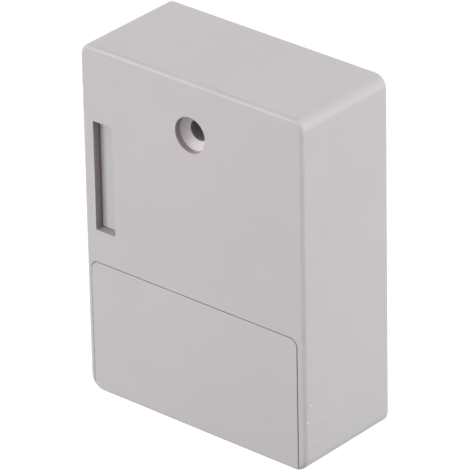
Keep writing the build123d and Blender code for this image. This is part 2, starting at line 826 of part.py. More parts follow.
with BuildPart() as ejector_spring_lower:
    ejector_spring(spring_heights[0])
ejector_spring_lower.part.label = "ejector_spring_lower"
export_step(ejector_spring_lower.part, "parts/ejector_spring_lower.step")

with BuildPart() as ejector_spring_upper:
    ejector_spring(spring_heights[1])
ejector_spring_upper.part.label = "ejector_spring_upper"
export_step(ejector_spring_upper.part, "parts/ejector_spring_upper.step")

with BuildPart() as ejector_retainer:
    block(-inner_side + panel_gap, chute_right, chute_end_depth,
          chute_end_depth + retainer_thickness,
          retainer_boss_heights[0] - retainer_boss_radius,
          retainer_boss_heights[1] + retainer_boss_radius)
    for height in spring_heights:
        rod(slot_middle, height, chute_end_depth - ejector_boss_length, chute_end_depth,
            ejector_boss_radius)
    for height in retainer_boss_heights:
        rod(slot_middle, height, chute_end_depth - overrun, board_depth,
            screw_radius + running_clearance, Mode.SUBTRACT)
ejector_retainer.part.label = "ejector_retainer"
export_step(ejector_retainer.part, "parts/ejector_retainer.step")

with BuildPart() as retainer_screws:
    for height in retainer_boss_heights:
        pan_screw(slot_middle, height, chute_end_depth + retainer_thickness, screw_length)
retainer_screws.part.label = "retainer_screws"
export_step(retainer_screws.part, "parts/retainer_screws.step")

# Latch bolt and its carriage

with BuildPart() as latch_bolt:
    block(bolt_tip_side, bolt_tail_side, bolt_front_depth, bolt_back_depth, bolt_bottom, bolt_top)
    chamfer(faces().sort_by(Axis.X)[0].edges(), length=bolt_tip_chamfer)
    rod(bolt_pin_side, slot_middle_height, 0, lock_depth, bolt_pin_radius + press_clearance,
        Mode.SUBTRACT)
latch_bolt.part.label = "latch_bolt"
export_step(latch_bolt.part, "parts/latch_bolt.step")

with BuildPart() as bolt_carriage:
    block(head_left, head_right, head_front_depth, head_back_depth, head_bottom, head_top)
    block(head_left - overrun, bolt_tail_side + running_clearance,
          bolt_front_depth - running_clearance, bolt_back_depth + running_clearance,
          bolt_bottom - running_clearance, bolt_top + running_clearance, Mode.SUBTRACT)
    rod(bolt_pin_side, slot_middle_height, 0, lock_depth, bolt_pin_radius + press_clearance,
        Mode.SUBTRACT)
    block(head_right, rack_right, rack_plate_depth, rack_plate_back_depth, rack_root_height,
          bolt_top)
    slope = math.tan(math.radians(pressure_angle))
    tip_half = rack_tooth_pitch / 4 - flank_clearance - addendum_share * final_module * slope
    foot_half = rack_tooth_pitch / 4 - flank_clearance + dedendum_share * final_module * slope
    tooth_height = (addendum_share + dedendum_share) * final_module
    with BuildSketch(front_plane(rack_plate_depth, final_axle_side, rack_root_height)):
        for tooth in range(-rack_teeth_before, rack_teeth_after):
            middle = (tooth + 1 / 2) * rack_tooth_pitch
            with BuildLine():
                Polyline(
                    (middle - foot_half, 0),
                    (middle - tip_half, -tooth_height),
                    (middle + tip_half, -tooth_height),
                    (middle + foot_half, 0),
                    close=True,
                )
            make_face()
    extrude(amount=-carriage_plate_thickness)
    block(flag_left_side, flag_left_side + flag_width, rack_plate_depth, flag_end_depth,
          flag_height - flag_thickness / 2, flag_height + flag_thickness / 2)
bolt_carriage.part.label = "bolt_carriage"
export_step(bolt_carriage.part, "parts/bolt_carriage.step")

with BuildPart() as bolt_pin:
    rod(bolt_pin_side, slot_middle_height, head_front_depth, head_back_depth, bolt_pin_radius)
bolt_pin.part.label = "bolt_pin"
export_step(bolt_pin.part, "parts/bolt_pin.step")

# Gear train

facing_gap = 180 + 180 / train_pinion_teeth
gear_back_depth = cover_plate_depth - wheel_gap / 2
gear_front_depth = frame_inner_depth + wheel_gap / 2
axle_front_depth = frame_inner_depth - axle_seat
axle_back_depth = cover_plate_depth + axle_seat

with BuildPart() as final_gear:
    toothed_disc(final_axle_side, axle_height, final_wheel_depth,
                 final_wheel_depth + wheel_thickness, train_module, wheel_teeth, 0)
    toothed_disc(final_axle_side, axle_height, final_wheel_depth + wheel_thickness,
                 rack_plate_back_depth, final_module, final_pinion_teeth, 90)
    rod(final_axle_side, axle_height, gear_front_depth, gear_back_depth, hub_radius)
    rod(final_axle_side, axle_height, 0, lock_depth, axle_radius + running_clearance,
        Mode.SUBTRACT)
final_gear.part.label = "final_gear"
export_step(final_gear.part, "parts/final_gear.step")

with BuildPart() as reduction_gear:
    toothed_disc(train_axle_side, axle_height, train_wheel_depth,
                 train_wheel_depth + wheel_thickness, train_module, wheel_teeth, 0)
    toothed_disc(train_axle_side, axle_height, train_wheel_depth + wheel_thickness,
                 final_wheel_depth + wheel_thickness + wheel_gap / 2, train_module,
                 train_pinion_teeth, facing_gap)
    rod(train_axle_side, axle_height, gear_front_depth, gear_back_depth, hub_radius)
    rod(train_axle_side, axle_height, 0, lock_depth, axle_radius + running_clearance,
        Mode.SUBTRACT)
reduction_gear.part.label = "reduction_gear"
export_step(reduction_gear.part, "parts/reduction_gear.step")

with BuildPart() as final_gear_axle:
    rod(final_axle_side, axle_height, axle_front_depth, axle_back_depth, axle_radius)
final_gear_axle.part.label = "final_gear_axle"
export_step(final_gear_axle.part, "parts/final_gear_axle.step")

with BuildPart() as reduction_gear_axle:
    rod(train_axle_side, axle_height, axle_front_depth, axle_back_depth, axle_radius)
reduction_gear_axle.part.label = "reduction_gear_axle"
export_step(reduction_gear_axle.part, "parts/reduction_gear_axle.step")

# Motor

motor_half_width = motor_width / 2
motor_half_height = motor_height / 2
motor_shaft_front_depth = gear_front_depth
motor_pinion_depth = train_wheel_depth - wheel_gap / 4


def motor_section(depth, inset):
    """A round motor section with a flat top and bottom, drawn smaller by the inset."""
    with BuildSketch(front_plane(depth, motor_side, axle_height)) as section:
        Circle(motor_half_width - inset)
        Rectangle(motor_width, motor_height - 2 * inset, mode=Mode.INTERSECT)
    return section.sketch


with BuildPart() as motor_can:
    extrude(motor_section(motor_front_depth, 0), amount=-motor_length)
    extrude(motor_section(motor_back_depth - motor_cap_thickness, motor_can_wall),
            amount=-motor_length, mode=Mode.SUBTRACT)
    rod(motor_side, axle_height, motor_front_depth - overrun,
        motor_front_depth + motor_bearing_length, motor_bearing_radius, Mode.SUBTRACT)
    rod(motor_side, axle_height, motor_front_depth, lock_depth,
        motor_shaft_radius + running_clearance, Mode.SUBTRACT)
motor_can.part.label = "motor_can"
export_step(motor_can.part, "parts/motor_can.step")

with BuildPart() as motor_end_cap:
    extrude(motor_section(motor_back_depth - motor_cap_thickness, motor_can_wall + press_clearance),
            amount=-motor_cap_thickness)
    for hand in (-1, 1):
        terminal_side = motor_side + hand * motor_terminal_spacing / 2
        block(terminal_side - motor_terminal_width / 2 - press_clearance,
              terminal_side + motor_terminal_width / 2 + press_clearance,
              motor_back_depth - motor_cap_thickness / 2, motor_back_depth + overrun,
              axle_height - motor_terminal_thickness / 2 - press_clearance,
              axle_height + motor_terminal_thickness / 2 + press_clearance, Mode.SUBTRACT)
motor_end_cap.part.label = "motor_end_cap"
export_step(motor_end_cap.part, "parts/motor_end_cap.step")

with BuildPart() as motor_bearing:
    rod(motor_side, axle_height, motor_front_depth, motor_front_depth + motor_bearing_length,
        motor_bearing_radius - press_clearance)
    rod(motor_side, axle_height, 0, lock_depth, motor_shaft_radius + running_clearance,
        Mode.SUBTRACT)
motor_bearing.part.label = "motor_bearing"
export_step(motor_bearing.part, "parts/motor_bearing.step")

with BuildPart() as motor_terminals:
    for hand in (-1, 1):
        terminal_side = motor_side + hand * motor_terminal_spacing / 2
        block(terminal_side - motor_terminal_width / 2, terminal_side + motor_terminal_width / 2,
              motor_back_depth - motor_cap_thickness / 2,
              motor_back_depth + motor_terminal_length,
              axle_height - motor_terminal_thickness / 2,
              axle_height + motor_terminal_thickness / 2)
motor_terminals.part.label = "motor_terminals"
export_step(motor_terminals.part, "parts/motor_terminals.step")

with BuildPart() as motor_shaft:
    rod(motor_side, axle_height, motor_shaft_front_depth,
        motor_back_depth - motor_cap_thickness - motor_shaft_clearance, motor_shaft_radius)
motor_shaft.part.label = "motor_shaft"
export_step(motor_shaft.part, "parts/motor_shaft.step")

with BuildPart() as motor_pinion:
    toothed_disc(motor_side, axle_height, motor_pinion_depth,
                 motor_pinion_depth + motor_pinion_length, train_module, train_pinion_teeth,
                 facing_gap)
    rod(motor_side, axle_height, 0, lock_depth, motor_shaft_radius + press_clearance,
        Mode.SUBTRACT)
motor_pinion.part.label = "motor_pinion"
export_step(motor_pinion.part, "parts/motor_pinion.step")

# Frame of the drive

with BuildPart() as mechanism_frame:
    with BuildSketch(front_plane(frame_front_depth, (frame_left_side + frame_right_side) / 2,
                                 (frame_bottom_height + frame_top_height) / 2)):
        RectangleRounded(frame_right_side - frame_left_side,
                         frame_top_height - frame_bottom_height, frame_corner_radius)
    extrude(amount=-frame_plate)
    # Pad and rails that guide the carriage
    block(frame_left_side, head_right - panel_gap, frame_inner_depth,
          head_front_depth - panel_gap, head_bottom, head_top)
    block(frame_left_side, head_left + bolt_tail_seat, frame_inner_depth, cover_plate_depth,
          carriage_bottom - panel_gap - frame_rail, carriage_bottom - panel_gap)
    block(frame_left_side, rack_right, frame_inner_depth, cover_plate_depth,
          head_top + panel_gap, head_top + panel_gap + frame_rail)
    # Seat and cradle of the motor
    block(motor_side + motor_half_width - motor_shelf, motor_side + motor_half_width,
          frame_inner_depth, motor_front_depth, axle_height - motor_half_height,
          axle_height + motor_half_height)
    for hand in (-1, 1):
        cradle = sorted((axle_height + hand * (motor_half_height + panel_gap),
                         axle_height + hand * (motor_half_height + panel_gap + frame_rail)))
        block(motor_side, motor_side + motor_half_width, frame_inner_depth, cover_plate_depth,
              cradle[0], cradle[1])
    for side, height in frame_post_places:
        rod(side, height, frame_inner_depth, cover_plate_depth, frame_post_radius)
        rod(side, height, 0, lock_depth, screw_radius + running_clearance, Mode.SUBTRACT)
    for side in (final_axle_side, train_axle_side):
        rod(side, axle_height, axle_front_depth, lock_depth, axle_radius + press_clearance,
            Mode.SUBTRACT)
mechanism_frame.part.label = "mechanism_frame"
export_step(mechanism_frame.part, "parts/mechanism_frame.step")

with BuildPart() as mechanism_cover:
    with BuildSketch(front_plane(cover_plate_depth, (frame_left_side + frame_right_side) / 2,
                                 (frame_bottom_height + frame_top_height) / 2)):
        RectangleRounded(frame_right_side - frame_left_side,
                         frame_top_height - frame_bottom_height, frame_corner_radius)
    extrude(amount=-frame_plate)
    extrude(motor_section(cover_plate_depth - overrun, -panel_gap), amount=-lock_depth,
            mode=Mode.SUBTRACT)
    block(flag_left_side - bolt_throw - slide_clearance,
          flag_left_side + flag_width + slide_clearance, 0, lock_depth,
          flag_height - flag_thickness / 2 - slide_clearance,
          flag_height + flag_thickness / 2 + slide_clearance, Mode.SUBTRACT)
    for side, height in frame_post_places:
        rod(side, height, 0, lock_depth, screw_radius + running_clearance, Mode.SUBTRACT)
    for side in (final_axle_side, train_axle_side):
        rod(side, axle_height, 0, lock_depth, axle_radius + press_clearance, Mode.SUBTRACT)
mechanism_cover.part.label = "mechanism_cover"
export_step(mechanism_cover.part, "parts/mechanism_cover.step")

with BuildPart() as mechanism_screws:
    for side, height in frame_post_places:
        pan_screw(side, height, cover_plate_back_depth,
                  cover_plate_back_depth - boss_pilot_depth - press_clearance)
mechanism_screws.part.label = "mechanism_screws"
export_step(mechanism_screws.part, "parts/mechanism_screws.step")

# Circuit board and what stands on it

with BuildPart() as circuit_board:
    with BuildSketch(front_plane(board_depth, 0, (board_bottom_height + board_top_height) / 2)):
        RectangleRounded(board_width, board_top_height - board_bottom_height, board_corner_radius)
    extrude(amount=-board_thickness)
    block(button_side - board_tab_width / 2, button_side + board_tab_width / 2, board_depth,
          board_back_depth, board_tab_bottom_height, board_bottom_height + overrun)
    rod(0, upper_hole_height, 0, lock_depth, upper_sleeve_radius + slide_clearance, Mode.SUBTRACT)
    for side, height, start in board_post_places:
        rod(side, height, 0, lock_depth, screw_radius + running_clearance, Mode.SUBTRACT)
circuit_board.part.label = "circuit_board"
export_step(circuit_board.part, "parts/circuit_board.step")

with BuildPart() as board_screws:
    for side, height, start in board_post_places:
        pan_screw(side, height, board_back_depth, screw_length)
board_screws.part.label = "board_screws"
export_step(board_screws.part, "parts/board_screws.step")

with BuildPart() as antenna_track:
    corners = []
    for turn in range(antenna_turns):
        inset = turn * antenna_pitch
        left, right = -antenna_width / 2 + inset, antenna_width / 2 - inset
        bottom, top = -antenna_height / 2 + inset, antenna_height / 2 - inset
        start = left if turn == 0 else left - antenna_pitch
        corners += [(start, bottom), (right, bottom), (right, top), (left, top)]
    with BuildSketch(front_plane(board_back_depth, 0, antenna_middle_height)):
        for first, second in zip(corners, corners[1:]):
            with Locations(((first[0] + second[0]) / 2, (first[1] + second[1]) / 2)):
                Rectangle(abs(second[0] - first[0]) + antenna_track_width,
                          abs(second[1] - first[1]) + antenna_track_width)
    extrude(amount=-antenna_thickness)
antenna_track.part.label = "antenna_track"
export_step(antenna_track.part, "parts/antenna_track.step")

with BuildPart() as controller_chip:
    chip(controller_side, controller_height, controller_width, controller_length,
         controller_thickness, controller_legs, chip_leg_pitch, chip_leg_reach)
controller_chip.part.label = "controller_chip"
export_step(controller_chip.part, "parts/controller_chip.step")

with BuildPart() as motor_driver_chip:
    chip(driver_side, driver_height, driver_width, driver_length, driver_thickness, driver_legs,
         chip_leg_pitch, chip_leg_reach)
motor_driver_chip.part.label = "motor_driver_chip"
export_step(motor_driver_chip.part, "parts/motor_driver_chip.step")

with BuildPart() as reader_chip:
    chip(reader_side, reader_height, reader_width, reader_width, reader_thickness, reader_legs,
         reader_leg_pitch, reader_leg_reach)
reader_chip.part.label = "reader_chip"
export_step(reader_chip.part, "parts/reader_chip.step")

with BuildPart() as crystal:
    with BuildSketch(front_plane(board_depth, crystal_side, crystal_height)):
        SlotOverall(crystal_length, crystal_width)
    extrude(amount=crystal_thickness)
crystal.part.label = "crystal"
export_step(crystal.part, "parts/crystal.step")

with BuildPart() as capacitor:
    block(capacitor_side - capacitor_radius, capacitor_side + capacitor_radius,
          board_depth - capacitor_base, board_depth, capacitor_height - capacitor_radius,
          capacitor_height + capacitor_radius)
    rod(capacitor_side, capacitor_height, board_depth - capacitor_length, board_depth,
        capacitor_radius)
capacitor.part.label = "capacitor"
export_step(capacitor.part, "parts/capacitor.step")

with BuildPart() as buzzer:
    rod(buzzer_side, buzzer_height, board_depth - buzzer_length, board_depth, buzzer_radius)
    rod(buzzer_side, buzzer_height, board_depth - buzzer_length - overrun,
        board_depth - buzzer_length / 2, buzzer_hole_radius, Mode.SUBTRACT)
buzzer.part.label = "buzzer"
export_step(buzzer.part, "parts/buzzer.step")

with BuildPart() as small_parts:
    for side_share, height_share in small_part_shares:
        side = side_share * board_width
        height = board_bottom_height + height_share * (board_top_height - board_bottom_height)
        block(side - small_part_width / 2, side + small_part_width / 2,
              board_depth - small_part_thickness, board_depth, height - small_part_length / 2,
              height + small_part_length / 2)
small_parts.part.label = "small_parts"
export_step(small_parts.part, "parts/small_parts.step")

with BuildPart() as bolt_sensor:
    block(sensor_left_side, sensor_left_side + sensor_width, sensor_front_depth, board_depth,
          flag_height - sensor_length / 2, flag_height + sensor_length / 2)
    block(sensor_left_side - overrun, sensor_left_side + sensor_width + overrun,
          sensor_front_depth - overrun, board_depth - sensor_base,
          flag_height - sensor_slot / 2, flag_height + sensor_slot / 2, Mode.SUBTRACT)
bolt_sensor.part.label = "bolt_sensor"
export_step(bolt_sensor.part, "parts/bolt_sensor.step")

with BuildPart() as learn_switch:
    block(button_side - switch_width / 2, button_side + switch_width / 2,
          board_depth - switch_body_depth, board_depth, lower_hole_height - switch_width / 2,
          lower_hole_height + switch_width / 2)
    rod(button_side, lower_hole_height, board_depth - switch_body_depth - overrun,
        board_depth - switch_body_depth + plunger_well, plunger_radius + running_clearance,
        Mode.SUBTRACT)
learn_switch.part.label = "learn_switch"
export_step(learn_switch.part, "parts/learn_switch.step")

with BuildPart() as learn_switch_plunger:
    rod(button_side, lower_hole_height, button_end_depth,
        board_depth - switch_body_depth + plunger_inside, plunger_radius)
learn_switch_plunger.part.label = "learn_switch_plunger"
export_step(learn_switch_plunger.part, "parts/learn_switch_plunger.step")

with BuildPart() as learn_button:
    flange_depth = ledge_depth + bay_wall + panel_gap
    rod(button_side, lower_hole_height, ledge_depth - button_stand_out, flange_depth,
        button_radius)
    rod(button_side, lower_hole_height, flange_depth, flange_depth + button_flange_thickness,
        button_flange_radius)
    rod(button_side, lower_hole_height, flange_depth, button_end_depth, button_stem_radius)
learn_button.part.label = "learn_button"
export_step(learn_button.part, "parts/learn_button.step")

with BuildPart() as motor_connector:
    connector(motor_connector_side, motor_connector_height)
motor_connector.part.label = "motor_connector"
export_step(motor_connector.part, "parts/motor_connector.step")

with BuildPart() as battery_connector:
    connector(battery_connector_side, battery_connector_height)
battery_connector.part.label = "battery_connector"
export_step(battery_connector.part, "parts/battery_connector.step")

# Wires, from the motor's terminals and the contact tails to their connectors

connector_wire_depth = board_depth - connector_depth / 2


def motor_wire(hand):
    """The wire of one motor terminal, up to the motor connector."""
    terminal_side = motor_side + hand * motor_terminal_spacing / 2
    pin_side = motor_connector_side + hand * connector_pin_pitch / 2
    depth = motor_back_depth + motor_terminal_length / 2
    start = axle_height + motor_terminal_thickness / 2
    end = motor_connector_height - connector_height / 2
    insulated_wire([(terminal_side, depth, start), (terminal_side, depth, start + wire_run),
          (pin_side, connector_wire_depth, end - wire_run), (pin_side, connector_wire_depth, end)])


def battery_wire(height, hand):
    """The wire of one contact tail, across to the battery connector."""
    depth = contact_tail_depth - wire_radius
    pin_height = battery_connector_height + hand * connector_pin_pitch / 2
    end = battery_connector_side + connector_width / 2
    insulated_wire([(cell_end_side, depth, height), (cell_end_side - wire_run, depth, height),
          (end + wire_run, connector_wire_depth, pin_height),
          (end, connector_wire_depth, pin_height)])


with BuildPart() as motor_wire_red:
    motor_wire(-1)
motor_wire_red.part.label = "motor_wire_red"
export_step(motor_wire_red.part, "parts/motor_wire_red.step")

with BuildPart() as motor_wire_black:
    motor_wire(1)
motor_wire_black.part.label = "motor_wire_black"
export_step(motor_wire_black.part, "parts/motor_wire_black.step")

with BuildPart() as battery_wire_red:
    battery_wire(upper_cell_height, 1)
battery_wire_red.part.label = "battery_wire_red"
export_step(battery_wire_red.part, "parts/battery_wire_red.step")

with BuildPart() as battery_wire_black:
    battery_wire(lower_cell_height, -1)
battery_wire_black.part.label = "battery_wire_black"
export_step(battery_wire_black.part, "parts/battery_wire_black.step")
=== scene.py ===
import bmesh
import bpy
import json
import math
from mathutils import Matrix, Vector


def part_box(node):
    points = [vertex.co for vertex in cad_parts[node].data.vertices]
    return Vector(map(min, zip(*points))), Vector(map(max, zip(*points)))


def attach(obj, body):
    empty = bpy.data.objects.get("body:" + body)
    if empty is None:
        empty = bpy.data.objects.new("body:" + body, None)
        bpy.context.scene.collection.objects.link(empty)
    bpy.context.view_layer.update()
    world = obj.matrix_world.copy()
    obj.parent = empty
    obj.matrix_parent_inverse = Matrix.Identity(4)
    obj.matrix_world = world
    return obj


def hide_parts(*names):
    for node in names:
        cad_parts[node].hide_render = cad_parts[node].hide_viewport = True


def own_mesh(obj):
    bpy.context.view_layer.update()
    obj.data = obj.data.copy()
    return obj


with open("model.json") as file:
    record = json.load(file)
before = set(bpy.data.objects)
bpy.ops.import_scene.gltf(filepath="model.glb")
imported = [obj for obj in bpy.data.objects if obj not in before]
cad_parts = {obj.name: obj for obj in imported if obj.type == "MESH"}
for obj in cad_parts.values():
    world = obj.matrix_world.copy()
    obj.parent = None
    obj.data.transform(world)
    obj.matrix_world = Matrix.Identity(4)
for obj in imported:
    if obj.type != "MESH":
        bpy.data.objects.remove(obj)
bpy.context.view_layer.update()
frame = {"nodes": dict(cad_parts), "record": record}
nodes = frame["nodes"]

MM = 0.001
case_low, case_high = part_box("front_housing")
case_middle = (case_low + case_high) / 2

# Camera, as a real camera would be set: turned to the right, raised, and a little out of level
CAMERA_AZIMUTH = 40.967
CAMERA_ELEVATION = 27.817
CAMERA_ROLL = -1.125
CAMERA_DISTANCE = 1.263
CAMERA_LENS = 421.4
SENSOR_SIDE = 36.0
AIM_BEHIND_MIDDLE = 0.7 * MM
AIM_RIGHT = -0.457 * MM
AIM_UP = -0.232 * MM
CLIP_NEAR = 0.05
CLIP_FAR = 20

# Soft square lamps, all at one distance: name, azimuth, elevation, side, power and colour
LAMP_DISTANCE = 0.9
WIDE_LAMP = 0.8
NARROW_LAMP = 0.25
LAMPS = [
    ("lamp_front_left", -20, 8, WIDE_LAMP, 6.3, (0.97, 0.99, 1.0)),
    ("lamp_front_edge", -36, 9, NARROW_LAMP, 1.5, (1.0, 0.99, 0.99)),
    ("lamp_front_high", 0, 55, WIDE_LAMP, 2.6, (1.0, 0.88, 0.87)),
    ("lamp_right", 105, 8, WIDE_LAMP, 6.8, (0.95, 0.97, 1.0)),
    ("lamp_right_low", 120, 8, NARROW_LAMP, 1.2, (0.96, 0.96, 1.0)),
    ("lamp_right_high", 120, 55, WIDE_LAMP, 2.3, (1.0, 0.99, 0.97)),
    ("lamp_behind_high", 220, 30, WIDE_LAMP, 2.6, (0.95, 0.98, 1.0)),
    ("lamp_behind", 180, 5, WIDE_LAMP, 4.3, (0.98, 0.99, 1.0)),
    ("lamp_left", -100, 7, WIDE_LAMP, 3.5, (0.98, 0.99, 1.0)),
]

# White floor, low enough that the battery cover can slide out above it
FLOOR_ROOM = 37 * MM
FLOOR_REACH = 3.0
FLOOR_LIT = (0.2, 0.2, 0.2, 1)
FLOOR_SEEN = (0.22, 0.22, 0.22, 1)
FLOOR_GLOW = 0.93
WHITE = (1, 1, 1, 1)

# Marks in the case's plastic: how worn its edges are, and pale nicks low on its right side,
# each with its depth and height in millimetres and the share of the full size that it has
WORN_EDGE_WIDTH = 1.1 * MM
SPECK_RADIUS = 0.21 * MM
SPECK_PLACES = [(2.0, 17.3, 1.0), (6.9, 12.0, 0.8), (0.9, 13.3, 1.1), (3.3, 7.5, 0.9),
                (8.8, 15.4, 0.5), (5.1, 9.9, 0.45)]

# Upper screw hole, as its surface shows it: bore, countersink and the cutter's rings, with painted
# shade in the bore and on the countersink's rim and painted light on its cone
HOLE_HEIGHT = 76.5 * MM
BORE_RADIUS = 2.66 * MM
SEAT_RADIUS = 4.5 * MM
CONE_SHARE = 0.975
RING_PITCH = 0.85 * MM
RING_HEIGHT_SHARE = 1.8

# Walls of the slot, inside which painted shade darkens the case, measured from the case's left
# side, front face and bottom
SLOT_LEFT = 3.3 * MM
SLOT_RIGHT = 9.3 * MM
SLOT_FRONT = 0.1 * MM
SLOT_BACK = 8 * MM
SLOT_BOTTOM = 42.8 * MM
SLOT_TOP = 71.0 * MM


# Small tools for materials

def add_node(tree, kind, inputs=None, **settings):
    """One shader or geometry node, with its settings and the values of its sockets."""
    made = tree.nodes.new(kind)
    for name, value in settings.items():
        setattr(made, name, value)
    for socket, value in (inputs or {}).items():
        if isinstance(value, bpy.types.NodeSocket):
            tree.links.new(value, made.inputs[socket])
        else:
            made.inputs[socket].default_value = value
    return made


def maths(tree, operation, first, second=0.0, clamp=False):
    """The result of one sum on values or sockets."""
    return add_node(tree, "ShaderNodeMath", {0: first, 1: second}, operation=operation,
                    use_clamp=clamp).outputs[0]


def mixed(tree, share, first, second):
    """Two colours mixed by a share."""
    made = add_node(tree, "ShaderNodeMix", data_type="RGBA")
    for socket, value in zip((made.inputs[0], made.inputs[6], made.inputs[7]),
                             (share, first, second)):
        if isinstance(value, bpy.types.NodeSocket):
            tree.links.new(value, socket)
        else:
            socket.default_value = value
    return made.outputs[2]


def ranged(tree, value, low, high, new_low=0.0, new_high=1.0):
    """A value carried smoothly from one range to another."""
    return add_node(tree, "ShaderNodeMapRange", {
        "Value": value, "From Min": low, "From Max": high, "To Min": new_low, "To Max": new_high,
    }, interpolation_type="SMOOTHSTEP").outputs["Result"]


def new_group(name, inputs, outputs):
    """An empty shader group with named sockets: its tree, its input and its output node."""
    tree = bpy.data.node_groups.new(name, "ShaderNodeTree")
    for label, kind, value in inputs:
        socket = tree.interface.new_socket(label, in_out="INPUT", socket_type=kind)
        if value is not None:
            socket.default_value = value
    for label, kind in outputs:
        tree.interface.new_socket(label, in_out="OUTPUT", socket_type=kind)
    return tree, tree.nodes.new("NodeGroupInput"), tree.nodes.new("NodeGroupOutput")


# Shares in the patterns of the finishes
MOTTLE_SHARE = 0.7
PIT_SCALE_SHARE = 0.45
PIT_HEIGHT_SHARE = 0.5
PALE_EDGE_SHARE = 0.35
POLISHED_EDGE_SHARE = 0.1
SPECK_SHARE = 0.8
# How strongly painted shade darkens the slot and the bore, and how much the cutter's rings streak
# the bore's painted shade
SLOT_PAINTED_SHADE_SHARE = 0.9
BORE_PAINTED_SHADE_SHARE = 0.85
BORE_STREAK_SHARE = 0.3
TRACK_SHARE = 0.6


def moulded_skin_group():
    """The skin of moulded plastic: slow mottling of the colour and a fine spark-eroded grain."""
    tree, inside, out = new_group("moulded_skin", [
        ("Colour", "NodeSocketColor", (0.5, 0.5, 0.5, 1)),
        ("Shade", "NodeSocketColor", (0.4, 0.4, 0.4, 1)),
        ("Mottle Scale", "NodeSocketFloat", 40.0),
        ("Grain Scale", "NodeSocketFloat", 3500.0),
        ("Roughness", "NodeSocketFloat", 0.5),
        ("Roughness Spread", "NodeSocketFloat", 0.08),
    ], [
        ("Colour", "NodeSocketColor"),
        ("Roughness", "NodeSocketFloat"),
        ("Height", "NodeSocketFloat"),
    ])
    place = add_node(tree, "ShaderNodeTexCoord").outputs["Object"]
    slow = add_node(tree, "ShaderNodeTexNoise", {
        "Vector": place, "Scale": inside.outputs["Mottle Scale"], "Detail": 3.0,
        "Roughness": 0.55,
    }).outputs[0]
    fine = add_node(tree, "ShaderNodeTexNoise", {
        "Vector": place, "Scale": inside.outputs["Grain Scale"], "Detail": 2.0, "Roughness": 0.6,
    }).outputs[0]
    pits = add_node(tree, "ShaderNodeTexVoronoi", {
        "Vector": place, "Scale": maths(tree, "MULTIPLY", inside.outputs["Grain Scale"],
                                       PIT_SCALE_SHARE),
    }).outputs["Distance"]
    share = maths(tree, "ADD", ranged(tree, slow, 0.35, 0.68, 0.0, MOTTLE_SHARE),
                  ranged(tree, fine, 0.3, 0.7, 0.0, 1.0 - MOTTLE_SHARE), clamp=True)
    colour = mixed(tree, share, inside.outputs["Colour"], inside.outputs["Shade"])
    swing = maths(tree, "MULTIPLY", maths(tree, "SUBTRACT", slow, 0.5),
                  inside.outputs["Roughness Spread"])
    roughness = maths(tree, "ADD", inside.outputs["Roughness"], swing, clamp=True)
    height = maths(tree, "ADD", fine, maths(tree, "MULTIPLY", pits, PIT_HEIGHT_SHARE))
    for label, value in (("Colour", colour), ("Roughness", roughness), ("Height", height)):
        tree.links.new(value, out.inputs[label])
    return tree


def rubbed_edges_group():
    """A mask that is strong along the edges of a box, broken up as handling breaks it up."""
    tree, inside, out = new_group("rubbed_edges", [
        ("Middle", "NodeSocketVector", (0, 0, 0)),
        ("Half Size", "NodeSocketVector", (0.01, 0.01, 0.01)),
        ("Width", "NodeSocketFloat", 0.001),
        ("Break Scale", "NodeSocketFloat", 300.0),
    ], [("Mask", "NodeSocketFloat")])
    place = add_node(tree, "ShaderNodeTexCoord").outputs["Object"]
    apart = add_node(tree, "ShaderNodeVectorMath", {0: place, 1: inside.outputs["Middle"]},
                     operation="SUBTRACT").outputs[0]
    apart = add_node(tree, "ShaderNodeVectorMath", {0: apart}, operation="ABSOLUTE").outputs[0]
    apart = add_node(tree, "ShaderNodeVectorMath", {0: inside.outputs["Half Size"], 1: apart},
                     operation="SUBTRACT").outputs[0]
    x, y, z = add_node(tree, "ShaderNodeSeparateXYZ", {0: apart}).outputs[:3]
    low, high = maths(tree, "MINIMUM", x, y), maths(tree, "MAXIMUM", x, y)
    second = maths(tree, "MAXIMUM", low, maths(tree, "MINIMUM", high, z))
    close = maths(tree, "SUBTRACT", 1.0,
                  maths(tree, "DIVIDE", second, inside.outputs["Width"], clamp=True))
    broken = add_node(tree, "ShaderNodeTexNoise", {
        "Vector": place, "Scale": inside.outputs["Break Scale"], "Detail": 4.0,
    }).outputs[0]
    mask = maths(tree, "MULTIPLY", maths(tree, "POWER", close, 1.5),
                 ranged(tree, broken, 0.3, 0.62))
    tree.links.new(mask, out.inputs["Mask"])
    return tree


def specks_group():
    """A mask of pale nicks in the skin, each at its own place."""
    tree, inside, out = new_group("pale_specks", [
        ("Radius", "NodeSocketFloat", 0.0002),
    ], [("Mask", "NodeSocketFloat")])
    place = add_node(tree, "ShaderNodeTexCoord").outputs["Object"]
    ragged = add_node(tree, "ShaderNodeTexNoise", {
        "Vector": place, "Scale": 5000.0, "Detail": 2.0,
    }).outputs[0]
    reach = maths(tree, "MULTIPLY", inside.outputs["Radius"],
                  ranged(tree, ragged, 0.3, 0.7, 0.6, 1.4))
    mask = None
    for depth, height, share in SPECK_PLACES:
        spot = (case_high.x, case_low.y + depth * MM, height * MM)
        far = add_node(tree, "ShaderNodeVectorMath", {0: place, 1: spot},
                       operation="DISTANCE").outputs["Value"]
        near = maths(tree, "LESS_THAN", maths(tree, "DIVIDE", far, share), reach)
        mask = near if mask is None else maths(tree, "MAXIMUM", mask, near)
    tree.links.new(mask, out.inputs["Mask"])
    return tree


